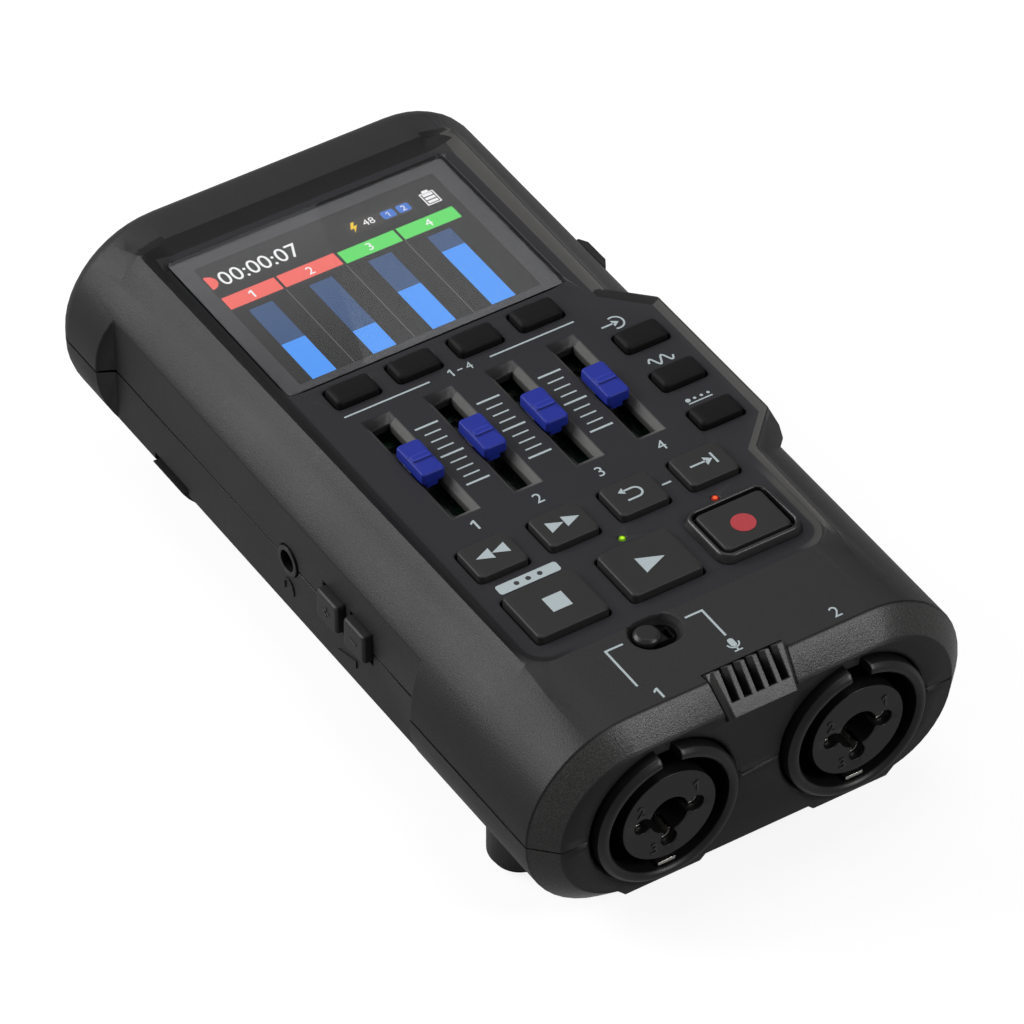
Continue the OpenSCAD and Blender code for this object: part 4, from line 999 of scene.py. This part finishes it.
def key_print(key, outlines, material=None):
    """Icons on top of a key, riding on it."""
    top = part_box(key)[1].z / MM - PANEL_Z - (RECORD_DROP if key == "record_key" else 0.0)
    prisms(key + "_mark", outlines, on_panel(z=top - 0.01), key, material or "print_grey",
           high=2 * INK)


def pointer(x, y, length, half, way):
    return [(x, y - half), (x + way * length, y), (x, y + half)]


key_print("rewind_key", [pointer(-18.8, 42.66, 2.7, 1.17, -1), pointer(-16.15, 42.66, 2.6, 1.13, -1)])
key_print("forward_key", [pointer(-8.95, 42.66, 2.6, 1.17, 1), pointer(-6.22, 42.66, 2.6, 1.17, 1)])
key_print("stop_key", [rect(-18.1, 27.07, -14.8, 30.3)])
key_print("play_key", [pointer(-2.07, 28.55, 4.15, 1.73, 1)])
key_print("record_key", [disc(15.6, 28.1, 1.92, 48)], "print_red")
turn_back = [stroke(arc(0.3, 0.0, 1.05, -90, 90, 16) + [(-1.2, 1.05)], 0.34),
             [(-1.1, 0.35), (-2.1, 1.05), (-1.1, 1.75)], rect(-1.6, -1.22, 0.3, -0.88)]
key_print("undo_key", moved(turn_back, 5.85, 42.5))
to_line = [rect(-2.3, -0.17, 0.5, 0.17), [(0.3, -0.95), (1.6, 0.0), (0.3, 0.95)], rect(1.75, -1.2, 2.1, 1.2)]
key_print("bounce_key", moved(to_line, 18.2, 42.6))


# Display behind the lens: black mask, lit area and what it shows

# How far a thing under the lens seems to lie in front of its place
LENS_SHIFT = (0.276, 0.43)
LENS_TOP = 0.02
GLASS_LOW = -0.8
MASK_TOP = -0.9
LAYER = 0.012
AREA = (-22.5, 90.3, 20.5, 121.6)


def shown(name, outlines, material, layer):
    top = MASK_TOP + layer * LAYER
    prisms(name, moved(outlines, *LENS_SHIFT), on_panel(), "case", material, low=top - 0.05,
           high=top)


lens_shape = bmesh.new()
add_prism(lens_shape, lens_outline(0.14), GLASS_LOW, LENS_TOP, on_panel())
lens_look = piece("display_lens_look", shaded("display_lens", lens_shape), "lens_clear", "case")
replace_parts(lens_look, "display_lens")
rim_path = lens_outline(0.09)
prisms("lens_rim", [stroke(rim_path + rim_path[:1], 0.1)], on_panel(), "case", "bezel_gloss",
       low=MASK_TOP, high=LENS_TOP)
prisms("display_mask", [lens_outline(0.04)], on_panel(), "case", "mask_black",
       low=MASK_TOP - 0.08, high=MASK_TOP)
shown("display_field", [rect(*AREA)], "screen_grey", 1)
TAB_X = [(-22.35, -13.05), (-12.6, -2.4), (-1.88, 8.17), (8.63, 18.85)]
METER_X = [(-20.2, -16.03), (-9.5, -5.42), (1.05, 5.2), (11.68, 15.9)]
METER_LOW = 90.35
METER_LEVEL = [99.5, 96.4, 100.5, 104.8]
shown("display_red_tabs", [rect(x0, 110.5, x1, 113.55) for x0, x1 in TAB_X[:2]], "screen_red", 2)
shown("display_green_tabs", [rect(x0, 110.3, x1, 113.25) for x0, x1 in TAB_X[2:]], "screen_green", 2)
meters = [(x0, x1, level) for (x0, x1), level in zip(METER_X, METER_LEVEL)]
shown("display_dim_meters", [rect(x0, level, x1, 109.0) for x0, x1, level in meters], "screen_dim", 2)
shown("display_bright_meters", [rect(x0, METER_LOW, x1, level) for x0, x1, level in meters], "screen_blue", 2)
shown("display_dividers", [rect(x - 0.055, METER_LOW, x + 0.055, 110.2) for x in (-12.88, -2.18, 8.42)],
      "screen_line", 2)
shown("display_armed_dot", [arc(-22.3, 117.5, 1.6, -90, 90, 24)], "screen_red", 2)
shown("display_badge_field", [rect(2.4, 115.5, 13.9, 118.4)], "screen_badge", 2)
shown("display_tags", [round_rect(x0, 115.95, x1, 117.8, 0.4) for x0, x1 in ((8.47, 10.75), (11.25, 13.45))],
      "screen_tag", 3)
shown("display_bolt", [[(3.5, 118.1), (2.75, 116.7), (3.4, 116.8), (3.0, 115.75), (4.2, 117.3), (3.5, 117.2),
                        (4.1, 118.1)]], "screen_yellow", 3)
battery = [stroke([(16.0, 115.3), (16.0, 118.1), (18.3, 118.1), (18.3, 115.3), (15.86, 115.3)], 0.2),
           rect(16.6, 118.1, 17.7, 118.7)]
battery += [rect(16.3, 115.6 + 0.85 * i, 18.0, 116.2 + 0.85 * i) for i in range(3)]
shown("display_battery", battery, "screen_white", 3)


def shown_figures(name, text, height, x, y, wide=1.0):
    place = on_panel(x + LENS_SHIFT[0], y + LENS_SHIFT[1], MASK_TOP + 3 * LAYER - 0.03)
    return lettering(name, text, height, place, "case", "screen_white", wide=wide)


for i, (x0, x1) in enumerate(TAB_X):
    shown_figures(f"display_tab_number_{i + 1}", str(i + 1), 1.75, (x0 + x1) / 2, 112.0 - 0.06 * i)
shown_figures("display_time", "00:00:07", 3.15, -13.3, 117.4, 0.91)
shown_figures("display_tag_number_1", "1", 1.2, 9.6, 116.87)
shown_figures("display_tag_number_2", "2", 1.2, 12.35, 116.87)
shown_figures("display_level", "48", 1.45, 6.1, 117.0)


# Sockets at the front: channels between their holes and figures beside them

INSERT_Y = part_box("jack_insert_a")[0].y / MM - FRONT_Y
CHANNELS = [(-4.6, -0.95), (-0.95, -0.95), (-0.95, -4.6), (0.95, -4.6), (0.95, -0.95), (4.6, -0.95),
            (4.6, 0.95), (-4.6, 0.95)]
for label, x in (("a", -SOCKET_X), ("b", SOCKET_X)):
    face = facing(FRONT_WAY, x, INSERT_Y, SOCKET_Z)
    refined(f"jack_insert_{label}", 0.14, cut=(CHANNELS, -4.0, 1.0, face))
    # the figures are painted lighter grey in place of the highlights on their raised edges
    for figure, (dx, dz) in {"1": (4.6, 3.6), "2": (-4.9, 3.1), "3": (-2.6, -5.4)}.items():
        place = facing(FRONT_WAY, x + dx, INSERT_Y, SOCKET_Z + dz)
        lettering(f"socket_{label}_figure_{figure}", figure, 2.0, place, "case", "socket_figure_highlight",
                  thick=0.16)


# Raised marks on the left side

LEFT_X = -35.05
left_marks = {
    "headphone_mark": (73.5, -21.6, [stroke(arc(0.0, 0.0, 1.2, 0, 180), 0.36)]
                       + [round_rect(-1.55, -1.2, -0.95, 0.1, 0.2), round_rect(0.95, -1.2, 1.55, 0.1, 0.2)]),
    "volume_ramp_mark": (56.8, -22.6, [[(-2.6, -0.6), (2.6, -0.6), (2.6, 0.9)]]),
}
for name, (y, z, outlines) in left_marks.items():
    prisms(name, outlines, facing(LEFT_WAY, LEFT_X, y, z), "case", "shell_plastic",
           low=-0.05, high=0.2)
dash = rect(-0.95, -0.2, 0.95, 0.2)
plus = [dash, rect(-0.2, -0.95, 0.2, 0.95)]
for key, outlines in {"volume_down_key": [dash], "volume_up_key": plus}.items():
    key_low, key_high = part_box(key)
    place = facing(LEFT_WAY, key_low.x / MM, (key_low.y + key_high.y) / 2 / MM - FRONT_Y,
                   (key_low.z + key_high.z) / 2 / MM - PANEL_Z)
    prisms(key + "_mark", outlines, place, key, "print_dark", low=-0.05, high=0.1)


# Floor, lamps, reflection card and camera

EYE = Vector((-438.281, -683.175, 761.352)) * MM
RIGHT = Vector((0.84239752, -0.53885044, 0.00257386))
DOWN = Vector((-0.36200733, -0.56945971, -0.73801513))
AHEAD = Vector((0.39914549, 0.62077036, -0.67477925))

# Height of the floor in metres, shares of plain white in reflections, and the sky's light on the object
FLOOR_Z = -0.00005
FLOOR_GLOSS = 0.3
SKY_GLOSS = 0.2
SKY_LIGHT = 0.15


def sheet(name, corners, material):
    mesh = bpy.data.meshes.new(name)
    mesh.from_pydata(corners, [], [(0, 1, 2, 3)])
    mesh.materials.append(material)
    return placed(name, mesh)


def white_share(tree, gloss):
    """How far plain white stands in for what is lit: fully for the camera and through glass."""
    path = node(tree, "ShaderNodeLightPath")
    return path.out("Is Camera Ray") + path.out("Is Transmission Ray") + path.out("Is Glossy Ray") * gloss


floor_white, floor_tree, floor_place = new_material("floor_white")
floor_tone = blend(floor_tree, noise(floor_tree, floor_place, 40.0), rgb(0.2, 0.2, 0.2),
                   rgb(0.24, 0.24, 0.24))
floor_base = {"Base Color": floor_tone, "Roughness": 0.9, "Specular IOR Level": 0.0}
floor_above = node(floor_tree, "ShaderNodeMixShader", {}, {
    0: white_share(floor_tree, FLOOR_GLOSS),
    1: node(floor_tree, "ShaderNodeBsdfPrincipled", {}, floor_base),
    2: node(floor_tree, "ShaderNodeBsdfPrincipled", {},
            {**floor_base, "Emission Color": rgb(1.0, 1.0, 1.0), "Emission Strength": 0.86}),
})
# From below the floor is clear
close_material(floor_tree, node(floor_tree, "ShaderNodeMixShader", {}, {
    0: node(floor_tree, "ShaderNodeNewGeometry", output="Backfacing"),
    1: floor_above,
    2: node(floor_tree, "ShaderNodeBsdfTransparent"),
}))
sheet("floor", [(x, y, FLOOR_Z) for x, y in rect(-6, -6, 6, 6)], floor_white)

# What the lamps look at
AIM = Vector((0.0, 0.0, 0.02))


def lamp(name, spot, size, power):
    """Soft lamp that looks at the object."""
    data = bpy.data.lights.new(name, "AREA")
    data.shape = "RECTANGLE"
    data.size, data.size_y = size
    data.energy = power
    made = placed(name, data)
    made.location = spot
    made.rotation_euler = (AIM - Vector(spot)).to_track_quat("-Z", "Y").to_euler()
    return made


key_lamp = lamp("key_rear_left", (-0.8, 0.75, 0.65), (0.9, 0.7), 15.0)
lamp("front_top", (0.5, -0.84, 0.78), (0.42, 0.32), 5.0)
lamp("top_soft", (0.15, 0.1, 1.3), (0.7, 0.7), 4.0)

# The lens takes no light from the large lamp, which it would mirror as plain white
unlit_lens = bpy.data.collections.new("lens_without_key_lamp")
unlit_lens.objects.link(lens_look)
unlit_lens.collection_objects[0].light_linking.link_state = "EXCLUDE"
key_lamp.light_linking.receiver_collection = unlit_lens


# Card that the lens mirrors towards the camera, and its distance from the lens
CARD_REACH = 0.7


def mirrored_spot(x, y):
    """Where the view ray that meets the lens at one place goes after it is mirrored, as far as the card."""
    spot = on_panel() @ Vector((x, y, 0.0))
    way = (spot - EYE).normalized()
    way.z = -way.z
    return spot + way * CARD_REACH, way


edge_far, way_far = mirrored_spot(1.31, 124.6)
edge_near, way_near = mirrored_spot(-7.81, 99.53)
card_up = (edge_far - edge_near).normalized()
card_out = -(way_far + way_near).normalized()
card_left = card_up.cross(card_out).normalized()
left_spot = mirrored_spot(-20.0, 112.0)[0]
if (left_spot - edge_near).dot(card_left) < 0:
    card_left = -card_left
card_material, card_tree, card_place = new_material("card_glow")
card_along = node(card_tree, "ShaderNodeSeparateXYZ", {}, {"Vector": card_place}, output="Y")
card_glow = blend(card_tree, ramp(card_along, -0.03, 0.07), rgb(0.3, 0.3, 0.3), rgb(1.0, 1.0, 1.02))
close_material(card_tree, node(card_tree, "ShaderNodeEmission", {}, {"Color": card_glow, "Strength": 1.15}))
card = sheet("reflection_card", [(x, y, 0.0) for x, y in rect(0.0, -0.2, 0.3, 0.3)], card_material)
card.matrix_world = Matrix.Translation(edge_near) @ turn_to(card_left, card_up, card_left.cross(card_up))
card.visible_camera = False

world = bpy.data.worlds.new("studio")
world.use_nodes = True
bpy.context.scene.world = world
world.node_tree.nodes.clear()
sky_strength = white_share(world.node_tree, SKY_GLOSS) * (1.0 - SKY_LIGHT) + SKY_LIGHT
sky = node(world.node_tree, "ShaderNodeBackground", {},
           {"Color": rgb(1.0, 1.0, 1.0), "Strength": sky_strength})
node(world.node_tree, "ShaderNodeOutputWorld", {}, {"Surface": sky})

camera_data = bpy.data.cameras.new("camera")
camera_data.sensor_width = 36.0
camera_data.lens = 256.37
camera_data.clip_start = 0.05
camera_data.clip_end = 20.0
camera = placed("camera", camera_data)
camera.matrix_world = Matrix.Translation(EYE) @ turn_to(RIGHT, -DOWN, -AHEAD)
bpy.context.scene.camera = camera
bpy.context.scene.view_settings.view_transform = "Standard"
